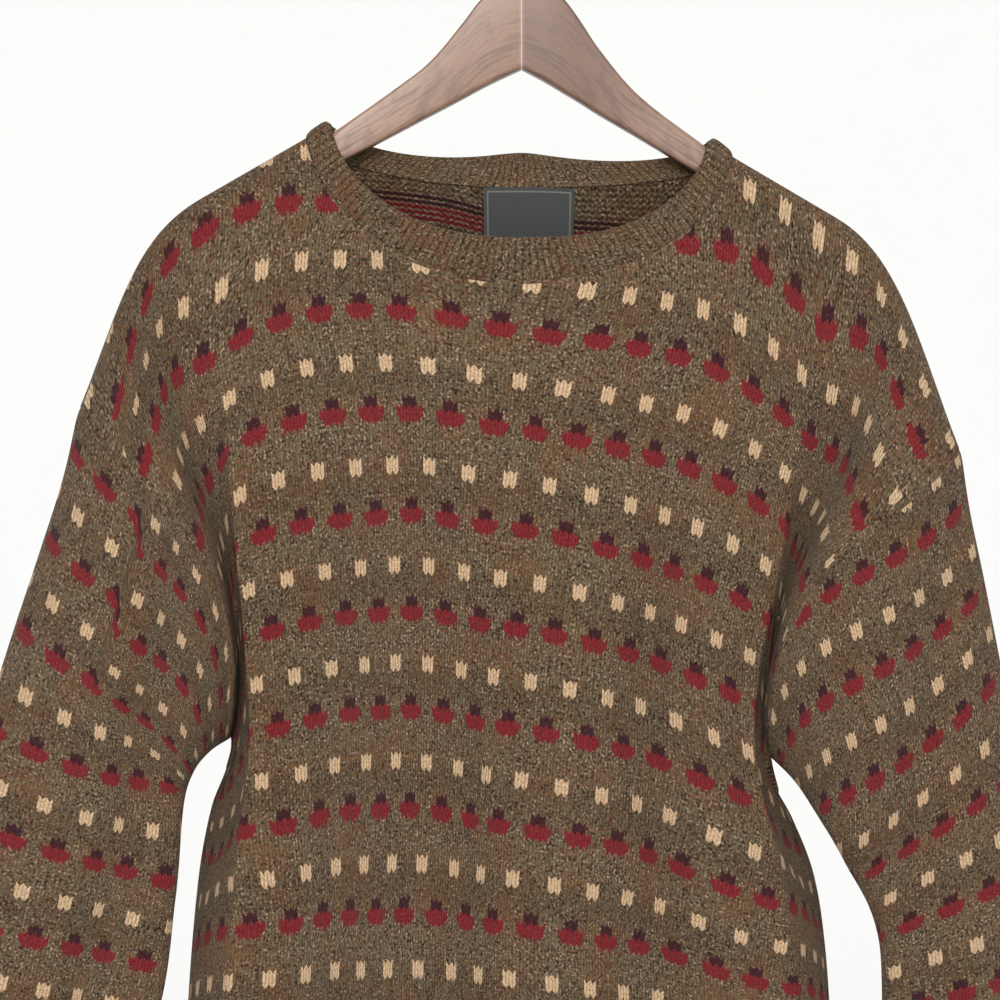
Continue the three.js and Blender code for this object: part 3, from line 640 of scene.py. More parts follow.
def sleeve_grids(side, stations=120, half_ring=60):
    """A sleeve's points as panel_grids gives them. Its last column lies on the first, along the underarm."""
    rings = SLEEVE_RINGS[side]
    (top_x, top_z), (foot_x, foot_z) = ARMHOLES[side]["top"], ARMHOLES[side]["foot"]
    away = unit(np.array([side * (top_z - foot_z), 0, foot_x - top_x], float))
    turn = np.linspace(0, math.pi, half_ring + 1)
    along, angle = np.meshgrid(
        np.linspace(0, 1, stations) ** 1.25, np.concatenate([turn[::-1], turn[1:]]), indexing="ij"
    )
    face = np.broadcast_to(np.repeat([BACK, FRONT], [half_ring, half_ring + 1]), angle.shape)
    at = {key: lookup(rings, "along", key, along) for key in SLEEVE_COLUMNS.split()[1:]}
    over = np.stack([side * at["over_x"], at["y"], at["over_z"]], -1)
    under = np.stack([side * at["under_x"], at["under_y"], at["under_z"]], -1)
    half = (over - under) / 2
    f = (1 - np.cos(angle)) / 2
    depth = np.where(face == FRONT, at["front"], at["back"])
    point = (over + under) / 2 + half * np.cos(angle)[..., None]
    point[..., 1] += face * depth * np.sin(angle)
    bow = ARMHOLE_BOW * (1 - ease(along / 0.35)) * np.sin(math.pi * f**1.35)
    point -= away * bow[..., None]
    point[..., 1] += np.where(face == FRONT, crease_back(side, point) * np.sin(angle), 0)
    tucked = SEAM_OVERLAP * (1 - ease(along / 0.03))
    point += away * (SEAM_GAP + ARMPIT_GAP * f**6 - tucked)[..., None]
    point[:, -1] = point[:, 0]
    length = np.linalg.norm(half, axis=-1)
    normal = ring_normal(half / length[..., None], length, depth, face, angle)
    normal[:, -1] = normal[:, 0]
    cut = sleeve_cut(side, point, along, f, half_ring)
    to_edge = np.minimum(along, 1 - along) * SLEEVE_LENGTH
    inner = point - normal * millimetres(sizes().wall)
    return {"outer": point - normal * seam_dip(to_edge)[..., None], "inner": inner, "normal": normal,
            "cut": cut, "edge": point, "seam": 1 - ease((to_edge - BARE_SEAM) / BARE_FADE)}


def sleeve_cut(side, point, along, f, half_ring):
    """Place of each point in the knitted sleeve: round it from its upper edge, and down from the armhole."""
    step = np.linalg.norm(np.diff(point, axis=1), axis=-1)
    run = np.concatenate([np.zeros((len(point), 1)), np.cumsum(step, axis=1)], axis=1)
    around = (run - run[:, half_ring : half_ring + 1]) * -side
    upper = np.linalg.norm(np.diff(point[:, half_ring], axis=0), axis=-1)
    length = np.concatenate([[0], np.cumsum(upper)])[:, None]
    extra = lookup(SLEEVE_ROWS[side], "along", "extra", along)
    down = SLEEVE_START + length + extra * f * f + lookup(SLEEVE_SLIP[side], "down", "slip", length)
    if side == LEFT:
        past = ease((around - LEFT_JUMP["around"]) / LEFT_JUMP["width"])
        above = 1 - ease((length - LEFT_JUMP["down"]) / LEFT_JUMP["fade"])
        down = down - LEFT_JUMP["rows"] * past * above
    return np.stack([lookup(SLEEVE_AROUND[side], "run", "knit", around), down], -1)


# Ribbed bands, as a rise from the seam and a distance out of the cloth
NECK_OUTSIDE = table(
    "rise out rib",
    (-1, -1.2, 0), (-0.2, -0.4, 0.1), (0.8, 0, 0.3), (2.5, 0.4, 0.8), (6, 1, 1), (12, 1.5, 1),
    (18, 1.7, 1), (21.5, 1.5, 1), (23.6, 0.9, 0.9), (24.8, 0, 0.6), (25.3, -0.8, 0.3),
)
NECK_INSIDE = table(
    "rise out rib",
    (-1, -2.9, 0), (-0.2, -3.7, 0), (0.8, -4, 0), (2.5, -3.5, -0.3), (6, -3.1, -0.6), (12, -3.2, -0.7),
    (18, -3.1, -0.7), (21.5, -2.9, -0.6), (23.6, -2.4, -0.4), (24.8, -1.9, -0.3), (25.3, -1.1, -0.2),
)
WELT_OUTSIDE = table(
    "part out rib",
    (0, -0.6, 0), (0.02, 0, 0.4), (0.05, 0.3, 0.8), (0.1, 0.3, 1), (0.25, 0.1, 1), (0.45, 0, 1),
    (0.65, 0, 1), (0.8, 0, 1), (0.92, 0, 1), (0.97, -0.2, 0.9), (0.99, -0.6, 0.7), (1, -1.2, 0.4),
)
WELT_INSIDE = table(
    "part out rib",
    (0, -2.8, 0), (0.02, -2.8, 0), (0.05, -2.8, -0.2), (0.1, -2.8, -0.4), (0.25, -2.8, -0.5),
    (0.45, -2.8, -0.5), (0.65, -2.8, -0.5), (0.8, -2.8, -0.5), (0.92, -2.8, -0.5), (0.97, -2.7, -0.4),
    (0.99, -2.4, -0.2), (1, -2, 0),
)
RIB_HEIGHT = 1.1
POINTS_PER_RIB = 8
BAND_PROFILE = 25
NECK_FOCUS_Z = -150
NECK_SIDE_LIFT = 0.42
NECK_LEAN = {FRONT: 0.2, BACK: 0.62}
NECK_SIDE_SHORT = 0.36


def resample(points, normals, count):
    """Points at even distances round a closed line, and the directions out of it there."""
    closed = np.concatenate([points, points[:1]])
    run = np.concatenate([[0], np.cumsum(np.linalg.norm(np.diff(closed, axis=0), axis=1))])
    at = np.linspace(0, run[-1], count + 1)
    wrapped = np.concatenate([normals, normals[:1]])
    spread = [np.stack([np.interp(at, run, column) for column in rows.T], -1) for rows in (closed, wrapped)]
    return spread[0], unit(spread[1])


def rib_wave(ribs):
    """Height of the ribs round a band, from 0 in the grooves to 1 on the ribs."""
    turn = 2 * math.pi * np.arange(ribs * POINTS_PER_RIB + 1) / POINTS_PER_RIB
    return (0.5 + 0.5 * np.cos(turn)) ** 0.8


def band_side(normal, profile, ribs, lines):
    """One side of a ribbed band: a line for each row of the profile, moved out by it and by the ribs."""
    wave = rib_wave(ribs)
    rows = []
    for line, out, rib in zip(lines, profile["out"], profile["rib"]):
        rows.append(line + normal * (out + RIB_HEIGHT * rib * wave)[:, None])
    return np.array(rows)


def band_cut(ribs, depths):
    """Place of each point of a band in its knit: one stitch to a rib, and down from the seam."""
    across = (np.arange(ribs * POINTS_PER_RIB + 1) / POINTS_PER_RIB + 0.5) * millimetres(sizes().stitch)
    return np.stack(np.meshgrid(depths, across, indexing="ij")[::-1], -1)


def neck_rise(line):
    """Ways in which the neckband rises: towards the middle of the neck, leaning back."""
    inwards = unit(np.stack([-line[:, 0], 0 * line[:, 0], NECK_FOCUS_Z - line[:, 2]], -1))
    at_side = inwards[:, 0] ** 2
    inwards[:, 2] += NECK_SIDE_LIFT * at_side
    inwards[:, 1] += np.where(line[:, 1] < 0, NECK_LEAN[FRONT], NECK_LEAN[BACK]) * (1 - at_side)
    return unit(inwards) * (1 - NECK_SIDE_SHORT * at_side)[:, None]


def neckband_grids(front, back):
    at_neck = np.abs(panel_columns()[0]) <= millimetres(sizes().neck_half)
    line = np.concatenate([front["edge"][0][at_neck], back["edge"][0][at_neck][::-1]])
    normal = np.concatenate([front["normal"][0][at_neck], back["normal"][0][at_neck][::-1]])
    ribs = sizes().neck_ribs
    line, normal = resample(line, normal, ribs * POINTS_PER_RIB)
    rise = neck_rise(line)
    stretch = millimetres(sizes().band_height) / BAND_PROFILE
    sides = []
    for profile in (NECK_OUTSIDE, NECK_INSIDE):
        lines = [line + rise * up for up in profile["rise"] * stretch]
        sides.append(band_side(normal, profile, ribs, lines))
    return {"outer": sides[0], "inner": sides[1], "cut": band_cut(ribs, -NECK_OUTSIDE["rise"] * stretch)}


def welt_grids(line, normal, ribs, along, height):
    """A hem or cuff: along gives the line at a share of its height."""
    line, normal = resample(line, normal, ribs * POINTS_PER_RIB)
    sides = []
    for profile in (WELT_OUTSIDE, WELT_INSIDE):
        lines = [along(line, normal, part) for part in profile["part"]]
        sides.append(band_side(normal, profile, ribs, lines))
    return {"outer": sides[0], "inner": sides[1], "cut": band_cut(ribs, WELT_OUTSIDE["part"] * height)}


def hem_grids(front, back):
    height = millimetres(sizes().hem_height)
    line = np.concatenate([front["edge"][-1], back["edge"][-1][::-1]])
    normal = np.concatenate([front["normal"][-1], back["normal"][-1][::-1]])

    def along(at, out, part):
        down = np.array([0, 0, SEAM_OVERLAP - (height + SEAM_OVERLAP) * part])
        return at + down - out * 2 * part

    return welt_grids(line, normal, sizes().hem_ribs, along, height)


def cuff_grids(sleeve):
    height = millimetres(sizes().cuff_height)
    ring = sleeve["edge"][-1][:-1]
    normal = sleeve["normal"][-1][:-1]
    over = ring[len(ring) // 2]
    middle = (over + ring[0]) / 2
    down = unit(np.cross(over - middle, np.array([0.0, 1.0, 0.0])))
    down = down if down[2] < 0 else -down

    def along(at, out, part):
        taper = CUFF_TAPER[0] + (CUFF_TAPER[1] - CUFF_TAPER[0]) * part
        return middle + (at - middle) * taper + down * ((height + SEAM_OVERLAP) * part - SEAM_OVERLAP)

    return welt_grids(ring, normal, sizes().cuff_ribs, along, height)


def label_grids():
    """The neck label, on the inside of the back."""
    drops = np.linspace(*LABEL_DROP, 25)
    across = np.linspace(*LABEL_SPAN, 33)
    below, s = np.meshgrid(drops, across, indexing="ij")
    start = neck_drop(BACK, s)
    row = (below - start) / (ridge_height(s) - start - HEM_SEAM)
    point = panel_point(BACK, s, s, row)[0] + np.array([0, SEAM_GAP / 2, 0])
    normal = grid_normals(point, -BACK)
    depth = millimetres(sizes().wall) + LABEL_LIFT
    cut = np.stack([s - sum(LABEL_SPAN) / 2, below - sum(LABEL_DROP) / 2], -1)
    return {"outer": point - normal * (depth + LABEL_THICK), "inner": point - normal * depth, "cut": cut}


# Wooden hanger: top and bottom edge of each arm by distance from the middle
HANGER_ARMS = {
    LEFT: table(
        "x top bottom",
        (0, -80, -130.5),
        (14, -82, -137),
        (24, -89, -142),
        (34, -102, -147.5),
        (53, -124.7, -157.5),
        (71, -139.2, -167),
        (111, -167.2, -188),
        (128, -177, -197.5),
        (190, -210.2, -237),
        (200, -217.6, -243),
        (207, -225, -240),
    ),
    RIGHT: table(
        "x top bottom",
        (0, -80, -130.5),
        (14, -82, -138),
        (24, -88, -144),
        (34, -101, -150),
        (45, -117.7, -157),
        (68, -145, -170.5),
        (107, -175, -194),
        (125, -187, -206),
        (186, -221.3, -248),
        (196, -229, -254),
        (203, -237, -251),
    ),
}
HANGER_HALF_THICK = 7
HANGER_EDGE = 3.2
HANGER_FLAT = 95
HANGER_ROUNDING = 30
HOOK_RADIUS = 22
HOOK_TURN = (-0.3 * math.pi, 1.08 * math.pi)
HOOK_STEM = 18
HOOK_EASE = 9
WIRE = 3.5
WOOD_TOP = -80


# Meshes
SHARP_ANGLE = math.radians(70)


def finish_mesh(name, points, faces, tints, places):
    """A smooth closed mesh with a material number for each face and a place in the knit for each corner."""
    corners = points[faces]
    crossed = np.cross(corners[:, 2] - corners[:, 0], corners[:, 3] - corners[:, 1])
    if (corners.mean(axis=1) * crossed).sum() < 0:
        faces, places = faces[:, ::-1], places[:, ::-1]
    mesh = bpy.data.meshes.new(name)
    mesh.from_pydata((points * MM).tolist(), [], faces.tolist())
    mesh.polygons.foreach_set("material_index", tints.astype(np.int32))
    mesh.polygons.foreach_set("use_smooth", np.ones(len(faces), bool))
    flat = np.zeros((faces.size, 3), np.float32)
    flat[:, : places.shape[-1]] = places.reshape(faces.size, -1)
    mesh.attributes.new("cut", "FLOAT_VECTOR", "CORNER").data.foreach_set("vector", flat.ravel())
    mesh.set_sharp_from_angle(angle=SHARP_ANGLE)
    mesh.update()
    return mesh


def cloth_mesh(name, grids, is_tube):
    """A closed wall between an outer and an inner grid. Its inside has the second material."""
    rows, columns = grids["outer"].shape[:2]
    points = np.concatenate([grids["outer"].reshape(-1, 3), grids["inner"].reshape(-1, 3)])
    seam = grids.get("seam", np.zeros(grids["cut"].shape[:2]))
    cut = np.concatenate([np.dstack([grids["cut"], seam]).reshape(-1, 3)] * 2)
    index = np.arange(rows * columns).reshape(rows, columns)
    shift = rows * columns
    a, b, c, d = index[:-1, :-1], index[1:, :-1], index[1:, 1:], index[:-1, 1:]
    outside = np.stack([a, b, c, d], -1).reshape(-1, 4)
    inside = np.stack([a, d, c, b], -1).reshape(-1, 4) + shift
    rims = []
    edges = [index[0], index[-1, ::-1]]
    if not is_tube:
        edges += [index[::-1, 0], index[:, -1]]
    for edge in edges:
        rims.append(np.stack([edge[:-1], edge[1:], edge[1:] + shift, edge[:-1] + shift], -1))
    faces = np.concatenate([outside, inside, *rims])
    tints = np.concatenate([np.zeros(len(outside)), np.ones(len(inside)), np.zeros(sum(map(len, rims)))])
    welded = np.arange(2 * shift).reshape(2, rows, columns)
    if is_tube:
        welded[:, :, -1] = welded[:, :, 0]
    kept, numbers = np.unique(welded, return_inverse=True)
    return finish_mesh(name, points[kept], numbers.reshape(-1)[faces], tints, cut[faces])


def rod_mesh(name, rings, places):
    """A closed body through rings of points, with small caps. Each ring's last point repeats its first."""
    rows, columns = rings.shape[:2]
    index = np.arange(rows * columns).reshape(rows, columns)
    a, b, c, d = index[:-1, :-1], index[1:, :-1], index[1:, 1:], index[:-1, 1:]
    faces = [np.stack([a, b, c, d], -1).reshape(-1, 4)]
    last = columns - 2
    for ring, flip in ((index[0], 1), (index[-1], -1)):
        near, far = np.arange(last // 2), last - np.arange(last // 2)
        cap = np.stack([ring[near], ring[near + 1], ring[far - 1], ring[far]], -1)
        faces.append(cap[:, ::flip])
    faces = np.concatenate(faces)
    index[:, -1] = index[:, 0]
    kept, numbers = np.unique(index, return_inverse=True)
    solid = numbers.reshape(-1)[faces]
    places = places.reshape(-1, places.shape[-1])
    return finish_mesh(name, rings.reshape(-1, 3)[kept], solid, np.zeros(len(faces)), places[faces])


def add_piece(name, mesh, nodes, materials):
    """Puts a piece in the scene on the one body, in place of its solids."""
    piece = bpy.data.objects.new(name, mesh)
    bpy.context.scene.collection.objects.link(piece)
    for material in materials:
        mesh.materials.append(material)
    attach(piece, "root")
    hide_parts(*nodes)
    return piece


def hanger_arm_mesh(side, stations=90, round_steps=10):
    """One half of the hanger: a flat board with round edges, in rings from the middle out."""
    arm = HANGER_ARMS[side]
    x = np.linspace(0, arm["x"][-1], stations)
    top, bottom = lookup(arm, "x", "top", x), lookup(arm, "x", "bottom", x)
    radius = HANGER_EDGE + (HANGER_HALF_THICK - HANGER_EDGE) * ease((x - HANGER_FLAT) / HANGER_ROUNDING)
    radius = np.minimum(radius, (top - bottom) / 2)
    flat = HANGER_HALF_THICK - radius
    turn = np.linspace(0, math.pi / 2, round_steps + 1)
    corners = []
    for front, low in ((1, 1), (-1, 1), (-1, -1), (1, -1)):
        way = turn if front == low else turn[::-1]
        y = front * (flat[:, None] + np.outer(radius, np.cos(way)))
        middle = top - radius if low == 1 else bottom + radius
        corners.append(np.stack([y, middle[:, None] + low * np.outer(radius, np.sin(way))], -1))
    ring = np.concatenate([*corners, corners[0][:, :1]], axis=1)
    across = np.broadcast_to((side * (x + SEAM_GAP / 2))[:, None, None], ring[..., :1].shape)
    points = np.concatenate([across, ring], -1)
    run = np.concatenate([[0], np.cumsum(np.hypot(np.diff(x), np.diff((top + bottom) / 2)))])
    height = ring[..., 1] - ((top + bottom) / 2)[:, None]
    places = np.stack([np.broadcast_to(run[:, None], height.shape), height, ring[..., 0]], -1)
    return rod_mesh(f"hanger_{SIDE_NAMES[side]}", points, places)


def hook_line():
    """Centre line of the hook: a stem, a bend out to one side, then most of a circle over the rail."""
    radius = HOOK_RADIUS + WIRE / 2
    stem = np.stack([np.zeros(10), np.linspace(WOOD_TOP + SEAM_GAP, WOOD_TOP + HOOK_STEM, 10)], -1)
    turn = np.linspace(*HOOK_TURN, 90)
    circle = np.stack([radius * np.cos(turn), radius * np.sin(turn) - HOOK_RADIUS], -1)
    u = np.linspace(0, 1, 16)[1:-1, None]
    first = stem[-1] + np.array([0, HOOK_EASE])
    second = circle[0] - HOOK_EASE * np.array([-math.sin(turn[0]), math.cos(turn[0])])
    v = 1 - u
    bend = v**3 * stem[-1] + 3 * v * v * u * first + 3 * v * u * u * second + u**3 * circle[0]
    return np.concatenate([stem, bend, circle])


def hook_mesh(ring_sides=20):
    line = hook_line()
    way = unit(np.gradient(line, axis=0))
    run = np.concatenate([[0], np.cumsum(np.linalg.norm(np.diff(line, axis=0), axis=1))])
    turn = np.linspace(0, 2 * math.pi, ring_sides + 1)
    radius = WIRE / 2 * np.sqrt(np.clip(1 - (1 - np.minimum(1, (run[-1] - run) / (WIRE / 2))) ** 2, 0.004, 1))
    out, deep = np.outer(radius, np.cos(turn)), np.outer(radius, np.sin(turn))
    points = np.stack(
        [line[:, :1] - way[:, 1:] * out, deep, line[:, 1:] + way[:, :1] * out], -1
    )
    places = np.stack([np.broadcast_to(run[:, None], out.shape), out], -1)
    return rod_mesh("hook", points, places)


# Colours and lights
def colour(name, description, default):
    return FloatVectorProperty(
        name=name, description=description, default=default, size=4, min=0, max=1, subtype="COLOR"
    )


def watts(name, description, default):
    return FloatProperty(
        name=name, description=description, default=default, min=0, max=500, subtype="POWER", unit="POWER"
    )


class JumperYarns(bpy.types.PropertyGroup):
    """Colours of the yarns and of the label, as linear red, green, blue and alpha."""

    dark: colour("Dark brown", "Darkest ply of the ground yarn", (0.018, 0.011, 0.006, 1))
    brown: colour("Brown", "Main ply of the ground yarn", (0.072, 0.046, 0.027, 1))
    olive: colour("Olive", "Olive ply of the ground yarn", (0.095, 0.074, 0.040, 1))
    beige: colour("Beige", "Palest ply of the ground yarn", (0.215, 0.158, 0.108, 1))
    rust: colour("Rust", "Rust flecks of the ground yarn", (0.105, 0.044, 0.017, 1))
    red: colour("Red", "Yarn of the motifs", (0.125, 0.007, 0.012, 1))
    plum: colour("Plum", "Yarn of the motifs' tops", (0.026, 0.004, 0.009, 1))
    cream: colour("Cream", "Yarn of the dots", (0.390, 0.265, 0.160, 1))
    label: colour("Label", "Satin of the neck label", (0.024, 0.026, 0.025, 1))
    label_thread: colour("Label thread", "Paler threads of the satin", (0.055, 0.057, 0.055, 1))
    label_edge: colour("Label edge", "Woven edge of the neck label", (0.130, 0.125, 0.110, 1))


class HangerFinish(bpy.types.PropertyGroup):
    """Colours of the hanger."""

    left_wood: colour("Left wood", "Paler wood of the left half", (0.150, 0.078, 0.044, 1))
    right_wood: colour("Right wood", "Redder wood of the right half", (0.100, 0.046, 0.026, 1))
    # Grain also gives the colour of the painted shade on the round edges of the arms.
    grain: colour("Grain", "Dark lines of the grain", (0.036, 0.015, 0.008, 1))
    # Paler wood, blended in towards the ends of the arms and along the glued seam.
    worn_wood: colour("Worn wood", "Worn wood near the ends and the glued seam", (0.270, 0.170, 0.120, 1))
    wire: colour("Wire", "Bright steel of the hook", (0.600, 0.610, 0.630, 1))
    drawn_marks: colour("Drawing marks", "Dull marks along the wire", (0.320, 0.320, 0.330, 1))


class StudioLook(bpy.types.PropertyGroup):
    """Floor, light and camera."""

    floor: colour("Floor", "Pale floor and wall of the studio", (0.900, 0.900, 0.890, 1))
    floor_cloud: colour("Floor cloud", "Faint cloudiness of the floor", (0.820, 0.820, 0.820, 1))
    camera_distance: metres("Camera distance", "From the camera to the front of the jumper", 2.2, 1, 6)
    floor_height: metres("Floor height", "Height of the floor, measured from the hook", -1.6, -3, -1)
    world_strength: FloatProperty(
        name="Sky strength", description="Strength of the even light all round", default=1.05, min=0, max=5,
    )
    key_strength: watts("Key strength", "Power of the large soft light in front", 130)
    fill_strength: watts("Fill strength", "Power of the lights at the sides and behind", 25)


def yarns():
    return bpy.context.scene.jumper_yarns


# Material nodes
def add_node(tree, kind, inputs=(), **settings):
    """Adds a node, with settings, and numbers or links for its inputs."""
    made = tree.nodes.new(kind)
    for key, value in settings.items():
        setattr(made, key, value)
    for name, value in dict(inputs).items():
        if isinstance(value, bpy.types.NodeSocket):
            tree.links.new(value, made.inputs[name])
        else:
            made.inputs[name].default_value = value
    return made


def calc(tree, operation, *values, clamp=False):
    inputs = dict(enumerate(values))
    return add_node(tree, "ShaderNodeMath", inputs, operation=operation, use_clamp=clamp).outputs[0]


def turned(tree, operation, value, turn):
    """Sine or cosine of a value that is multiplied by a turn."""
    return calc(tree, operation, calc(tree, "MULTIPLY", value, turn))


def blend_colours(tree, share, first, second, way="MIX"):
    inputs = {0: share, 6: first, 7: second}
    return add_node(tree, "ShaderNodeMix", inputs, data_type="RGBA", blend_type=way).outputs[2]


def join(tree, x, y, z=0.0):
    return add_node(tree, "ShaderNodeCombineXYZ", {0: x, 1: y, 2: z}).outputs[0]


def noise(tree, vector, scale, detail=2.0):
    inputs = {"Vector": vector, "Scale": scale, "Detail": detail}
    return add_node(tree, "ShaderNodeTexNoise", inputs, noise_dimensions="3D").outputs[0]


def spread(tree, value, low, high, to_low=0.0, to_high=1.0, smooth=True):
    """Moves a value from one range to another, within its ends."""
    inputs = {"Value": value, "From Min": low, "From Max": high, "To Min": to_low, "To Max": to_high}
    kind = "SMOOTHSTEP" if smooth else "LINEAR"
    return add_node(tree, "ShaderNodeMapRange", inputs, interpolation_type=kind).outputs[0]


def new_material(name, roughness, **settings):
    """A material with its shader. Settings go straight on the shader's own sockets."""
    material = bpy.data.materials.new(name)
    material.use_nodes = True
    tree = material.node_tree
    shader = tree.nodes["Principled BSDF"]
    shader.inputs["Roughness"].default_value = roughness
    for key, value in settings.items():
        shader.inputs[key.replace("_", " ").title().replace("Ior", "IOR")].default_value = value
    return material, tree, shader


def bump(tree, shader, height, depth):
    made = add_node(tree, "ShaderNodeBump", {"Height": height, "Distance": depth, "Strength": 1.0})
    tree.links.new(made.outputs[0], shader.inputs["Normal"])


def stitch_places(tree, start, slant, uneven=0.0):
    """Stitch numbers across and down, and the place within the stitch, from the place in the cut."""
    cut = add_node(tree, "ShaderNodeAttribute", attribute_name="cut").outputs["Vector"]
    parts = add_node(tree, "ShaderNodeSeparateXYZ", {0: cut}).outputs
    chance = add_node(tree, "ShaderNodeTexNoise", {"Vector": cut, "Scale": 0.55, "Detail": 2.0}).outputs[1]
    sway = add_node(tree, "ShaderNodeSeparateColor", {0: chance}).outputs
    moved = [
        calc(tree, "MULTIPLY_ADD", calc(tree, "SUBTRACT", sway[k], 0.5), uneven, parts[k]) for k in range(2)
    ]
    across = calc(tree, "DIVIDE", calc(tree, "SUBTRACT", moved[0], start), millimetres(sizes().stitch))
    column = calc(tree, "FLOOR", across)
    within = calc(tree, "SUBTRACT", across, column)
    leg = calc(tree, "ABSOLUTE", calc(tree, "MULTIPLY_ADD", within, 2.0, -1.0))
    down = calc(tree, "DIVIDE", moved[1], millimetres(sizes().course))
    lift = calc(tree, "MULTIPLY", calc(tree, "SUBTRACT", 1.0, leg), slant)
    down = calc(tree, "SUBTRACT", down, lift)
    course = calc(tree, "FLOOR", down)
    right_leg = calc(tree, "GREATER_THAN", within, 0.5)
    return {
        "cut": cut, "column": column, "course": course, "leg": leg, "seam": parts[2],
        "leg_number": calc(tree, "MULTIPLY_ADD", column, 2.0, right_leg),
        "within": within, "down": calc(tree, "SUBTRACT", down, course),
    }


# How fine the flecks and patches of the ground yarn are, and the fuzz of its surface
FLECK = 0.62
OLIVE_PATCH = 0.4
WARM_FLECK = 0.5
WARM_PATCH = 0.03
YARN_SHADE = 0.7
FUZZ = 1.6

# Places of the plies along the scale from dark to pale
PLIES = ((0.1, "dark"), (0.42, "brown"), (0.62, "brown"), (0.95, "beige"))


def marl(tree, at):
    """Colour of the twisted ground yarn: dark and pale plies turn up by chance, a leg or less at a time."""
    yarn = yarns()
    cell = join(tree, at["leg_number"], at["course"], 0.0)
    chance = add_node(tree, "ShaderNodeTexWhiteNoise", {"Vector": cell}, noise_dimensions="3D")
    parts = add_node(tree, "ShaderNodeSeparateColor", {0: chance.outputs[1]}).outputs
    fleck = calc(tree, "MULTIPLY_ADD", noise(tree, at["cut"], FLECK, 1.0), 2.5, -0.95)
    mixed = calc(tree, "MULTIPLY_ADD", chance.outputs[0], 0.34, fleck)
    ramp = add_node(tree, "ShaderNodeValToRGB", {0: mixed})
    elements = ramp.color_ramp.elements
    while len(elements) < len(PLIES):
        elements.new(0.5)
    for element, (place, ply) in zip(elements, PLIES):
        element.position = place
        element.color = getattr(yarn, ply)
    olive = calc(tree, "MULTIPLY_ADD", parts[1], 0.3, noise(tree, at["cut"], OLIVE_PATCH, 2.0))
    olive = spread(tree, olive, 0.62, 0.8, 0.0, 0.7)
    tint = blend_colours(tree, olive, ramp.outputs[0], tuple(yarn.olive))
    patch = noise(tree, at["cut"], WARM_PATCH, 3.0)
    warm = calc(tree, "MULTIPLY_ADD", patch, 0.7, noise(tree, at["cut"], WARM_FLECK, 1.0))
    warm = spread(tree, warm, 0.84, 1.05, 0.0, 0.7)
    return blend_colours(tree, warm, tint, tuple(yarn.rust))


# Which legs of stitches and courses of the repeat each colour takes
CHART = (
    {"yarn": "plum", "first_leg": 4, "legs": 4, "first_course": 0, "courses": 2},
    {"yarn": "red", "first_leg": 2, "legs": 8, "first_course": 2, "courses": 2},
    {"yarn": "red", "first_leg": 3, "legs": 6, "first_course": 4, "courses": 1},
    {"yarn": "cream", "first_leg": 10, "legs": 4, "first_course": 12, "courses": 3},
)
MOTIF_MIDDLE = -17
FIRST_MOTIF_ROW = 60
MOTIF_TOP = 3.05


def charted(tree, at, ground):
    """Works the motifs and dots of the chart into the ground."""
    course = course_of_repeat(tree, at)
    legs = 2.0 * REPEAT["columns"]
    plain = calc(tree, "LESS_THAN", at["seam"], 0.5)
    result = ground
    for block in CHART:
        shifted = calc(tree, "SUBTRACT", at["leg_number"], float(block["first_leg"]))
        shifted = calc(tree, "FLOORED_MODULO", shifted, legs)
        inside = calc(tree, "LESS_THAN", shifted, block["legs"] - 0.5)
        dropped = calc(tree, "SUBTRACT", course, float(block["first_course"]))
        dropped = calc(tree, "FLOORED_MODULO", dropped, float(REPEAT["courses"]))
        within = calc(tree, "LESS_THAN", dropped, block["courses"] - 0.5)
        share = calc(tree, "MULTIPLY", calc(tree, "MULTIPLY", inside, within), plain)
        tint = tuple(getattr(yarns(), block["yarn"]))
        shade = spread(tree, noise(tree, at["cut"], YARN_SHADE, 2.0), 0.3, 0.7, 0.72, 1.2)
        tint = shaded(tree, tint, shade)
        soft = blend_colours(tree, 0.1, tint, ground)
        result = blend_colours(tree, share, result, soft)
    return result


def course_of_repeat(tree, at):
    """Number of a course within the repeat, from the top of a row of motifs."""
    first = round(FIRST_MOTIF_ROW / millimetres(sizes().course) - MOTIF_TOP)
    down = calc(tree, "SUBTRACT", at["course"], float(first))
    return calc(tree, "FLOORED_MODULO", down, float(REPEAT["courses"]))


def banded(tree, at, ground):
    """The ground is a little paler under the motifs than under the dots."""
    pale = calc(tree, "LESS_THAN", course_of_repeat(tree, at), 12.5)
    return shaded(tree, ground, calc(tree, "MULTIPLY_ADD", pale, 0.16, 0.88))


def knit_material():
    """Face of the stockinette, with its chart, and painted shade in the grooves between the legs of its
    stitches.
    """
    material, tree, shader = new_material("marled_knit", 1.0, specular_ior_level=0.08, sheen_weight=0.03)
    start = MOTIF_MIDDLE - 3 * millimetres(sizes().stitch)
    at = stitch_places(tree, start, 0.85, 1.3)
    tint = charted(tree, at, banded(tree, at, marl(tree, at)))
    away = calc(tree, "ABSOLUTE", calc(tree, "MULTIPLY_ADD", at["leg"], 2.0, -1.0))
    round_leg = calc(tree, "SQRT", calc(tree, "SUBTRACT", 1.0, calc(tree, "POWER", away, 2.0), clamp=True))
    along = turned(tree, "SINE", at["down"], math.pi)
    height = calc(tree, "MULTIPLY", round_leg, calc(tree, "MULTIPLY_ADD", along, 0.45, 0.55))
    # Painted shade: the colour is darkened in the grooves between the stitch legs, on top of the bump.
    painted_groove_shade = spread(tree, height, 0.0, 0.6, 0.72, 1.0)
    return knitted(material, tree, shader, at, shaded(tree, tint, painted_groove_shade), height, 0.0009)


def shaded(tree, tint, share):
    """A colour darkened to a share of itself."""
    grey = add_node(tree, "ShaderNodeCombineColor", {0: share, 1: share, 2: share}).outputs[0]
    return blend_colours(tree, 1.0, tint, grey, "MULTIPLY")


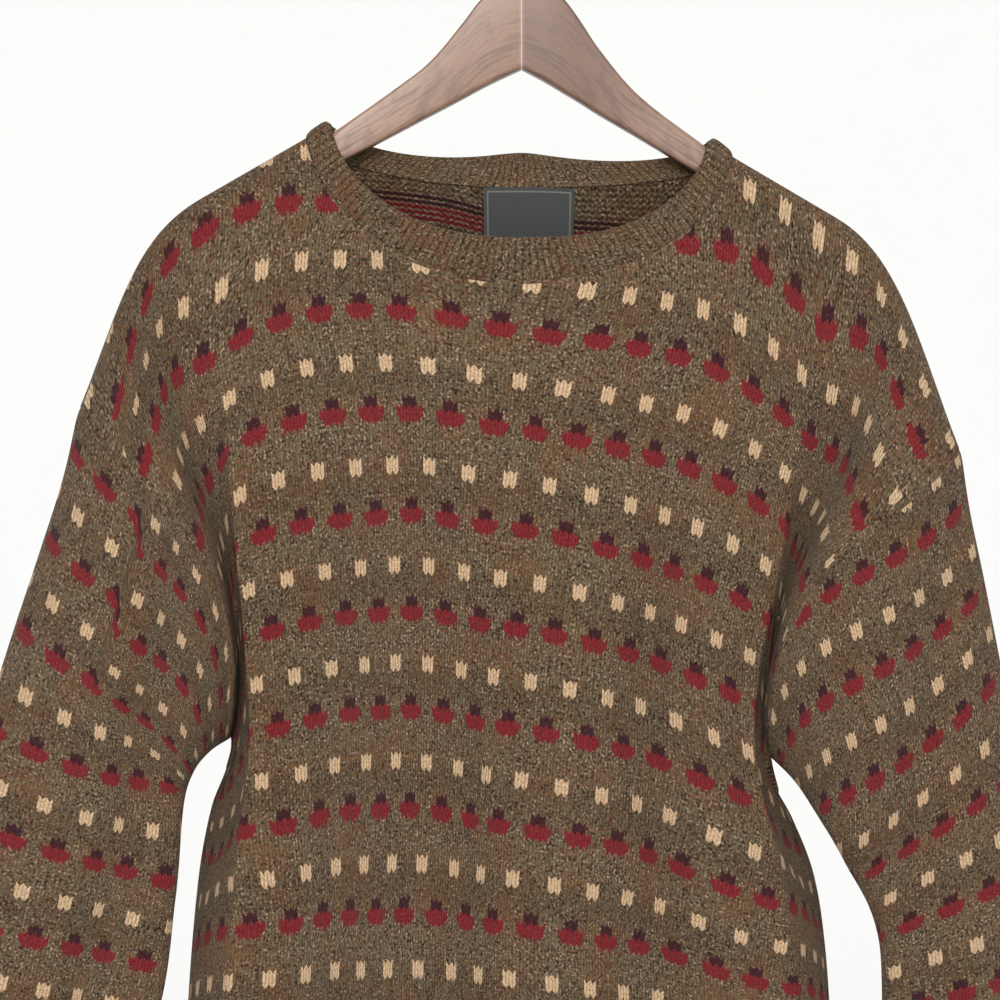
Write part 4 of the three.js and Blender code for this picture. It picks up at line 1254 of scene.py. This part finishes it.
def knitted(material, tree, shader, at, tint, height, depth):
    """Gives a knit its colour, and the relief of its stitches under the fuzz of the yarn."""
    tree.links.new(tint, shader.inputs["Base Color"])
    fuzz = noise(tree, at["cut"], FUZZ, 3.0)
    bump(tree, shader, calc(tree, "MULTIPLY_ADD", fuzz, 0.35, height), depth)
    return material


def purl_material():
    """Inside of the stockinette: rows of small loops, with the chart's yarns behind and painted shade between
    the rows.
    """
    material, tree, shader = new_material("knit_inside", 1.0, specular_ior_level=0.08, sheen_weight=0.03)
    start = MOTIF_MIDDLE - 3 * millimetres(sizes().stitch)
    at = stitch_places(tree, start, 0.0)
    course = course_of_repeat(tree, at)
    strand = calc(tree, "GREATER_THAN", turned(tree, "SINE", at["down"], math.pi), 0.5)
    carried = calc(tree, "MULTIPLY", calc(tree, "LESS_THAN", course, 4.5), strand)
    yarn = blend_colours(tree, calc(tree, "LESS_THAN", course, 1.5), tuple(yarns().red), tuple(yarns().plum))
    tint = blend_colours(tree, calc(tree, "MULTIPLY", carried, 0.85), marl(tree, at), yarn)
    swing = calc(tree, "MULTIPLY", turned(tree, "COSINE", at["within"], 2 * math.pi), 0.2)
    row = turned(tree, "SINE", calc(tree, "ADD", at["down"], swing), 2 * math.pi)
    height = calc(tree, "MULTIPLY_ADD", row, 0.5, 0.5)
    # Painted shade: the colour is darkened in the troughs between the rows of loops.
    shade = spread(tree, height, 0.0, 0.7, 0.5, 0.85)
    return knitted(material, tree, shader, at, shaded(tree, tint, shade), height, 0.0009)


def rib_material():
    """Ribs of the bands, in the ground yarn, with painted shade between the ribs."""
    material, tree, shader = new_material("marled_rib", 1.0, specular_ior_level=0.08, sheen_weight=0.03)
    at = stitch_places(tree, 0.0, 0.9, 0.8)
    tint = marl(tree, at)
    ridge = calc(tree, "SUBTRACT", 1.0, at["leg"])
    along = turned(tree, "SINE", at["down"], math.pi)
    split = spread(tree, at["leg"], 0.0, 0.3)
    height = calc(tree, "MULTIPLY", calc(tree, "MULTIPLY_ADD", along, 0.45, 0.55), split)
    # Painted shade: the colour is darkened in the grooves between the ribs.
    shade = spread(tree, ridge, 0.0, 0.55, 0.5, 0.95)
    return knitted(material, tree, shader, at, shaded(tree, tint, shade), height, 0.0006)


# Woven line of the label, from its edge, and the height of one pick of its weave
LABEL_LINE = {"in": 2.4, "half_width": 0.45}
LABEL_PICK = 0.45


def label_material():
    """Blank satin label with a woven edge."""
    material, tree, shader = new_material("label_satin", 0.6, specular_ior_level=0.25, sheen_weight=0.05)
    cut = add_node(tree, "ShaderNodeAttribute", attribute_name="cut").outputs["Vector"]
    parts = add_node(tree, "ShaderNodeSeparateXYZ", {0: cut}).outputs
    half = ((LABEL_SPAN[1] - LABEL_SPAN[0]) / 2, (LABEL_DROP[1] - LABEL_DROP[0]) / 2)
    margins = [calc(tree, "SUBTRACT", size, calc(tree, "ABSOLUTE", part)) for size, part in zip(half, parts)]
    to_edge = calc(tree, "MINIMUM", *margins)
    line = calc(tree, "COMPARE", to_edge, LABEL_LINE["in"], LABEL_LINE["half_width"])
    thread = spread(tree, noise(tree, cut, 2.2, 2.0), 0.3, 0.7, 0.0, 0.25)
    base = blend_colours(tree, thread, tuple(yarns().label), tuple(yarns().label_thread))
    tint = blend_colours(tree, calc(tree, "MULTIPLY", line, 0.7), base, tuple(yarns().label_edge))
    tree.links.new(tint, shader.inputs["Base Color"])
    weave = turned(tree, "SINE", parts[1], 2 * math.pi / LABEL_PICK)
    bump(tree, shader, calc(tree, "MULTIPLY_ADD", weave, 0.5, calc(tree, "MULTIPLY", line, 1.5)), 0.00012)
    return material


def wood_material(name, base):
    """Lacquered wood with its grain along the arm, paler towards the end, and painted shade that darkens its
    round edges.
    """
    material, tree, shader = new_material(name, 0.42, coat_weight=0.12, coat_roughness=0.3)
    finish = bpy.context.scene.hanger_finish
    cut = add_node(tree, "ShaderNodeAttribute", attribute_name="cut").outputs["Vector"]
    parts = add_node(tree, "ShaderNodeSeparateXYZ", {0: cut}).outputs
    long_grain = add_node(tree, "ShaderNodeMapping", {"Vector": cut, "Scale": (0.012, 0.16, 0.16)}).outputs[0]
    pores = add_node(tree, "ShaderNodeMapping", {"Vector": cut, "Scale": (0.12, 1.6, 1.6)}).outputs[0]
    grain, fine = noise(tree, long_grain, 3.0, 6.0), noise(tree, pores, 1.6, 3.0)
    mottle = noise(tree, cut, 0.09, 4.0)
    # The wood turns paler towards the end of each arm.
    paler_to_end = spread(tree, parts[0], 40.0, 130.0, 0.0, 0.45)
    tint = blend_colours(tree, paler_to_end, base, tuple(finish.worn_wood))
    tint = blend_colours(tree, spread(tree, grain, 0.46, 0.7, 0.0, 0.55), tint, tuple(finish.grain))
    tint = blend_colours(tree, spread(tree, mottle, 0.5, 0.75, 0.0, 0.4), tint, tuple(finish.grain))
    tint = blend_colours(tree, spread(tree, fine, 0.5, 0.75, 0.0, 0.45), tint, tuple(finish.grain))
    # Painted shade: the round edges of the board, where they turn away, are darkened towards the grain
    # colour.
    depth = calc(tree, "ABSOLUTE", parts[2])
    edge = spread(tree, depth, HANGER_HALF_THICK - HANGER_EDGE, HANGER_HALF_THICK - 1.2, 0.75, 0.0)
    glue = spread(tree, parts[0], 0.4, 1.6, 0.35, 0.0)
    tint = blend_colours(tree, edge, tint, tuple(finish.grain))
    tint = blend_colours(tree, glue, tint, tuple(finish.worn_wood))
    tree.links.new(tint, shader.inputs["Base Color"])
    bump(tree, shader, fine, 0.00008)
    return material


def steel_material():
    """Bright wire with fine drawing marks."""
    material, tree, shader = new_material("bright_wire", 0.22, metallic=1.0)
    cut = add_node(tree, "ShaderNodeAttribute", attribute_name="cut").outputs["Vector"]
    drawn = add_node(tree, "ShaderNodeMapping", {"Vector": cut, "Scale": (0.06, 3.0, 1.0)}).outputs[0]
    marks = noise(tree, drawn, 2.0, 3.0)
    finish = bpy.context.scene.hanger_finish
    share = spread(tree, marks, 0.3, 0.7, 0.0, 0.25)
    tint = blend_colours(tree, share, tuple(finish.wire), tuple(finish.drawn_marks))
    tree.links.new(tint, shader.inputs["Base Color"])
    bump(tree, shader, marks, 0.00003)
    return material


def floor_material():
    """Pale matt paint with a faint cloudiness."""
    material, tree, shader = new_material("pale_paint", 0.9)
    place = add_node(tree, "ShaderNodeTexCoord").outputs["Object"]
    cloud = noise(tree, place, 0.6, 2.0)
    look = bpy.context.scene.studio_look
    share = spread(tree, cloud, 0.3, 0.7, 0.0, 0.06)
    tint = blend_colours(tree, share, tuple(look.floor), tuple(look.floor_cloud))
    tree.links.new(tint, shader.inputs["Base Color"])
    return material


def shared(maker, name, *values):
    """A material by its name, made the first time that it is asked for."""
    return bpy.data.materials.get(name) or maker(*values)


# Studio
PIXEL = 0.58
FRAME_PIXELS = 1000
FRAME_MIDDLE = (-12.8, -385.7)
JUMPER_FRONT = -0.05
SENSOR = 36
STAGE_FLAT = 6.5
STAGE_BEND = 3
STAGE_HEIGHT = 6
STAGE_SIDES = 96
LIGHT_TARGET = (0, 0, -0.45)

# Lights: their places, sizes in metres, and shares of the key or fill power
LIGHTS = {
    "key_light": {"place": (-0.5, -3.1, 1.2), "size": 1.2, "power": "key_strength", "share": 1},
    "right_light": {"place": (2.6, -2.2, 0.6), "size": 2.0, "power": "fill_strength", "share": 1},
    "back_light": {"place": (-0.5, 3.1, 1.5), "size": 1.6, "power": "fill_strength", "share": 3},
}


def aim(thing, place, target):
    """Puts a lamp or camera in its place, looking at the target."""
    thing.location = place
    thing.rotation_euler = (Vector(target) - Vector(place)).to_track_quat("-Z", "Y").to_euler()


def make_camera():
    look = bpy.context.scene.studio_look
    data = bpy.data.cameras.new("front_camera")
    data.sensor_width = SENSOR
    data.lens = SENSOR * look.camera_distance / (PIXEL * MM * FRAME_PIXELS)
    data.clip_end = 50
    camera = bpy.data.objects.new("front_camera", data)
    bpy.context.scene.collection.objects.link(camera)
    x, z = (value * MM for value in FRAME_MIDDLE)
    aim(camera, (x, JUMPER_FRONT - look.camera_distance, z), (x, 0, z))
    bpy.context.scene.camera = camera


def make_light(name, light):
    data = bpy.data.lights.new(name, "AREA")
    data.shape = "SQUARE"
    data.size = light["size"]
    data.energy = getattr(bpy.context.scene.studio_look, light["power"]) * light["share"]
    lamp = bpy.data.objects.new(name, data)
    lamp.visible_camera = False
    bpy.context.scene.collection.objects.link(lamp)
    aim(lamp, light["place"], LIGHT_TARGET)


def make_stage():
    """A round pale floor that curves up into a wall."""
    look = bpy.context.scene.studio_look
    rings = [(STAGE_FLAT * k / 8, 0) for k in range(1, 9)]
    for k in range(1, 13):
        angle = math.pi / 2 * k / 12
        rings.append((STAGE_FLAT + STAGE_BEND * math.sin(angle), STAGE_BEND * (1 - math.cos(angle))))
    rings.append((STAGE_FLAT + STAGE_BEND, STAGE_HEIGHT))
    points = [(0, 0, look.floor_height)]
    for radius, up in rings:
        for k in range(STAGE_SIDES):
            angle = 2 * math.pi * k / STAGE_SIDES
            points.append((radius * math.cos(angle), radius * math.sin(angle), look.floor_height + up))
    faces = [(0, 1 + k, 1 + (k + 1) % STAGE_SIDES) for k in range(STAGE_SIDES)]
    for row in range(len(rings) - 1):
        for k in range(STAGE_SIDES):
            a = 1 + row * STAGE_SIDES + k
            b = 1 + row * STAGE_SIDES + (k + 1) % STAGE_SIDES
            faces.append((a, a + STAGE_SIDES, b + STAGE_SIDES, b))
    mesh = bpy.data.meshes.new("studio_floor")
    mesh.from_pydata(points, [], faces)
    mesh.polygons.foreach_set("use_smooth", [True] * len(faces))
    mesh.materials.append(floor_material())
    floor = bpy.data.objects.new("studio_floor", mesh)
    bpy.context.scene.collection.objects.link(floor)


class JUMPER_OT_studio(bpy.types.Operator):
    """Set up the camera, the lights and the pale floor"""

    bl_idname = "jumper.studio"
    bl_label = "Set up studio"

    def execute(self, context):
        look = context.scene.studio_look
        make_camera()
        make_stage()
        world = bpy.data.worlds.new("studio_sky")
        world.use_nodes = True
        sky = world.node_tree.nodes["Background"]
        sky.inputs["Color"].default_value = (1, 1, 1, 1)
        sky.inputs["Strength"].default_value = look.world_strength
        context.scene.world = world
        context.scene.view_settings.view_transform = "Standard"
        for name, light in LIGHTS.items():
            make_light(name, light)
        return {"FINISHED"}


# Pieces
def knit_materials():
    return [shared(knit_material, "marled_knit"), shared(purl_material, "knit_inside")]


def rib_materials():
    return [shared(rib_material, "marled_rib")] * 2


def add_cloth(name, grids, is_tube, materials):
    """Adds a piece of cloth in place of its solid."""
    piece = add_piece(f"{name}_cloth", cloth_mesh(name, grids, is_tube), [name], materials)
    return piece


class JUMPER_OT_hanger(bpy.types.Operator):
    """Build the two glued halves of the flat wooden hanger"""

    bl_idname = "jumper.hanger"
    bl_label = "Hanger"

    def execute(self, context):
        finish = context.scene.hanger_finish
        for side, tint in ((LEFT, finish.left_wood), (RIGHT, finish.right_wood)):
            name = f"hanger_{SIDE_NAMES[side]}"
            wood = wood_material(f"wood_{SIDE_NAMES[side]}", tuple(tint))
            add_piece(f"{name}_wood", hanger_arm_mesh(side), [name], [wood])
        return {"FINISHED"}


class JUMPER_OT_hook(bpy.types.Operator):
    """Bend the wire hook"""

    bl_idname = "jumper.hook"
    bl_label = "Hook"

    def execute(self, context):
        add_piece("hook_wire", hook_mesh(), ["hook"], [steel_material()])
        return {"FINISHED"}


class JUMPER_OT_body(bpy.types.Operator):
    """Knit the front and back panels"""

    bl_idname = "jumper.body"
    bl_label = "Body panels"

    def execute(self, context):
        for face, name in ((FRONT, "front_panel"), (BACK, "back_panel")):
            add_cloth(name, panel_grids(face), False, knit_materials())
        return {"FINISHED"}


class JUMPER_OT_sleeves(bpy.types.Operator):
    """Knit the two sleeves"""

    bl_idname = "jumper.sleeves"
    bl_label = "Sleeves"

    def execute(self, context):
        for side in (LEFT, RIGHT):
            name = f"sleeve_{SIDE_NAMES[side]}"
            add_cloth(name, sleeve_grids(side), True, knit_materials())
        return {"FINISHED"}


class JUMPER_OT_neckband(bpy.types.Operator):
    """Knit the double rib round the neck"""

    bl_idname = "jumper.neckband"
    bl_label = "Neckband"

    def execute(self, context):
        grids = neckband_grids(panel_grids(FRONT), panel_grids(BACK))
        add_cloth("neckband", grids, True, rib_materials())
        return {"FINISHED"}


class JUMPER_OT_hem(bpy.types.Operator):
    """Knit the rib round the hem"""

    bl_idname = "jumper.hem"
    bl_label = "Hem"

    def execute(self, context):
        grids = hem_grids(panel_grids(FRONT), panel_grids(BACK))
        add_cloth("hem_rib", grids, True, rib_materials())
        return {"FINISHED"}


class JUMPER_OT_cuffs(bpy.types.Operator):
    """Knit the rib of the two cuffs"""

    bl_idname = "jumper.cuffs"
    bl_label = "Cuffs"

    def execute(self, context):
        for side in (LEFT, RIGHT):
            name = SIDE_NAMES[side]
            grids = cuff_grids(sleeve_grids(side))
            add_cloth(f"cuff_{name}", grids, True, rib_materials())
        return {"FINISHED"}


class JUMPER_OT_label(bpy.types.Operator):
    """Sew the blank label into the back neck"""

    bl_idname = "jumper.label"
    bl_label = "Neck label"

    def execute(self, context):
        satin = label_material()
        add_cloth("neck_label", label_grids(), False, [satin, satin])
        return {"FINISHED"}


MAKERS = (
    JUMPER_OT_studio,
    JUMPER_OT_hanger,
    JUMPER_OT_hook,
    JUMPER_OT_body,
    JUMPER_OT_sleeves,
    JUMPER_OT_neckband,
    JUMPER_OT_hem,
    JUMPER_OT_cuffs,
    JUMPER_OT_label,
)


class JUMPER_PT_workshop(bpy.types.Panel):
    """Sizes, colours and buttons of the jumper"""

    bl_label = "Fair Isle Jumper"
    bl_space_type = "VIEW_3D"
    bl_region_type = "UI"
    bl_category = "Jumper"

    def draw(self, context):
        scene = context.scene
        for group in (scene.jumper_sizes, scene.jumper_yarns, scene.hanger_finish, scene.studio_look):
            box = self.layout.box()
            for key in group.__annotations__:
                box.prop(group, key)
        for maker in MAKERS:
            self.layout.operator(maker.bl_idname)


GROUPS = {
    "jumper_sizes": JumperSizes,
    "jumper_yarns": JumperYarns,
    "hanger_finish": HangerFinish,
    "studio_look": StudioLook,
}


def register():
    for item in (*GROUPS.values(), *MAKERS, JUMPER_PT_workshop):
        bpy.utils.register_class(item)
    for name, group in GROUPS.items():
        setattr(bpy.types.Scene, name, PointerProperty(type=group))


def unregister():
    for name in GROUPS:
        delattr(bpy.types.Scene, name)
    for item in reversed((*GROUPS.values(), *MAKERS, JUMPER_PT_workshop)):
        bpy.utils.unregister_class(item)


def main():
    register()
    bpy.ops.jumper.studio()
    bpy.ops.jumper.hanger()
    bpy.ops.jumper.hook()
    bpy.ops.jumper.body()
    bpy.ops.jumper.sleeves()
    bpy.ops.jumper.neckband()
    bpy.ops.jumper.hem()
    bpy.ops.jumper.cuffs()
    bpy.ops.jumper.label()


if __name__ == "__main__":
    main()
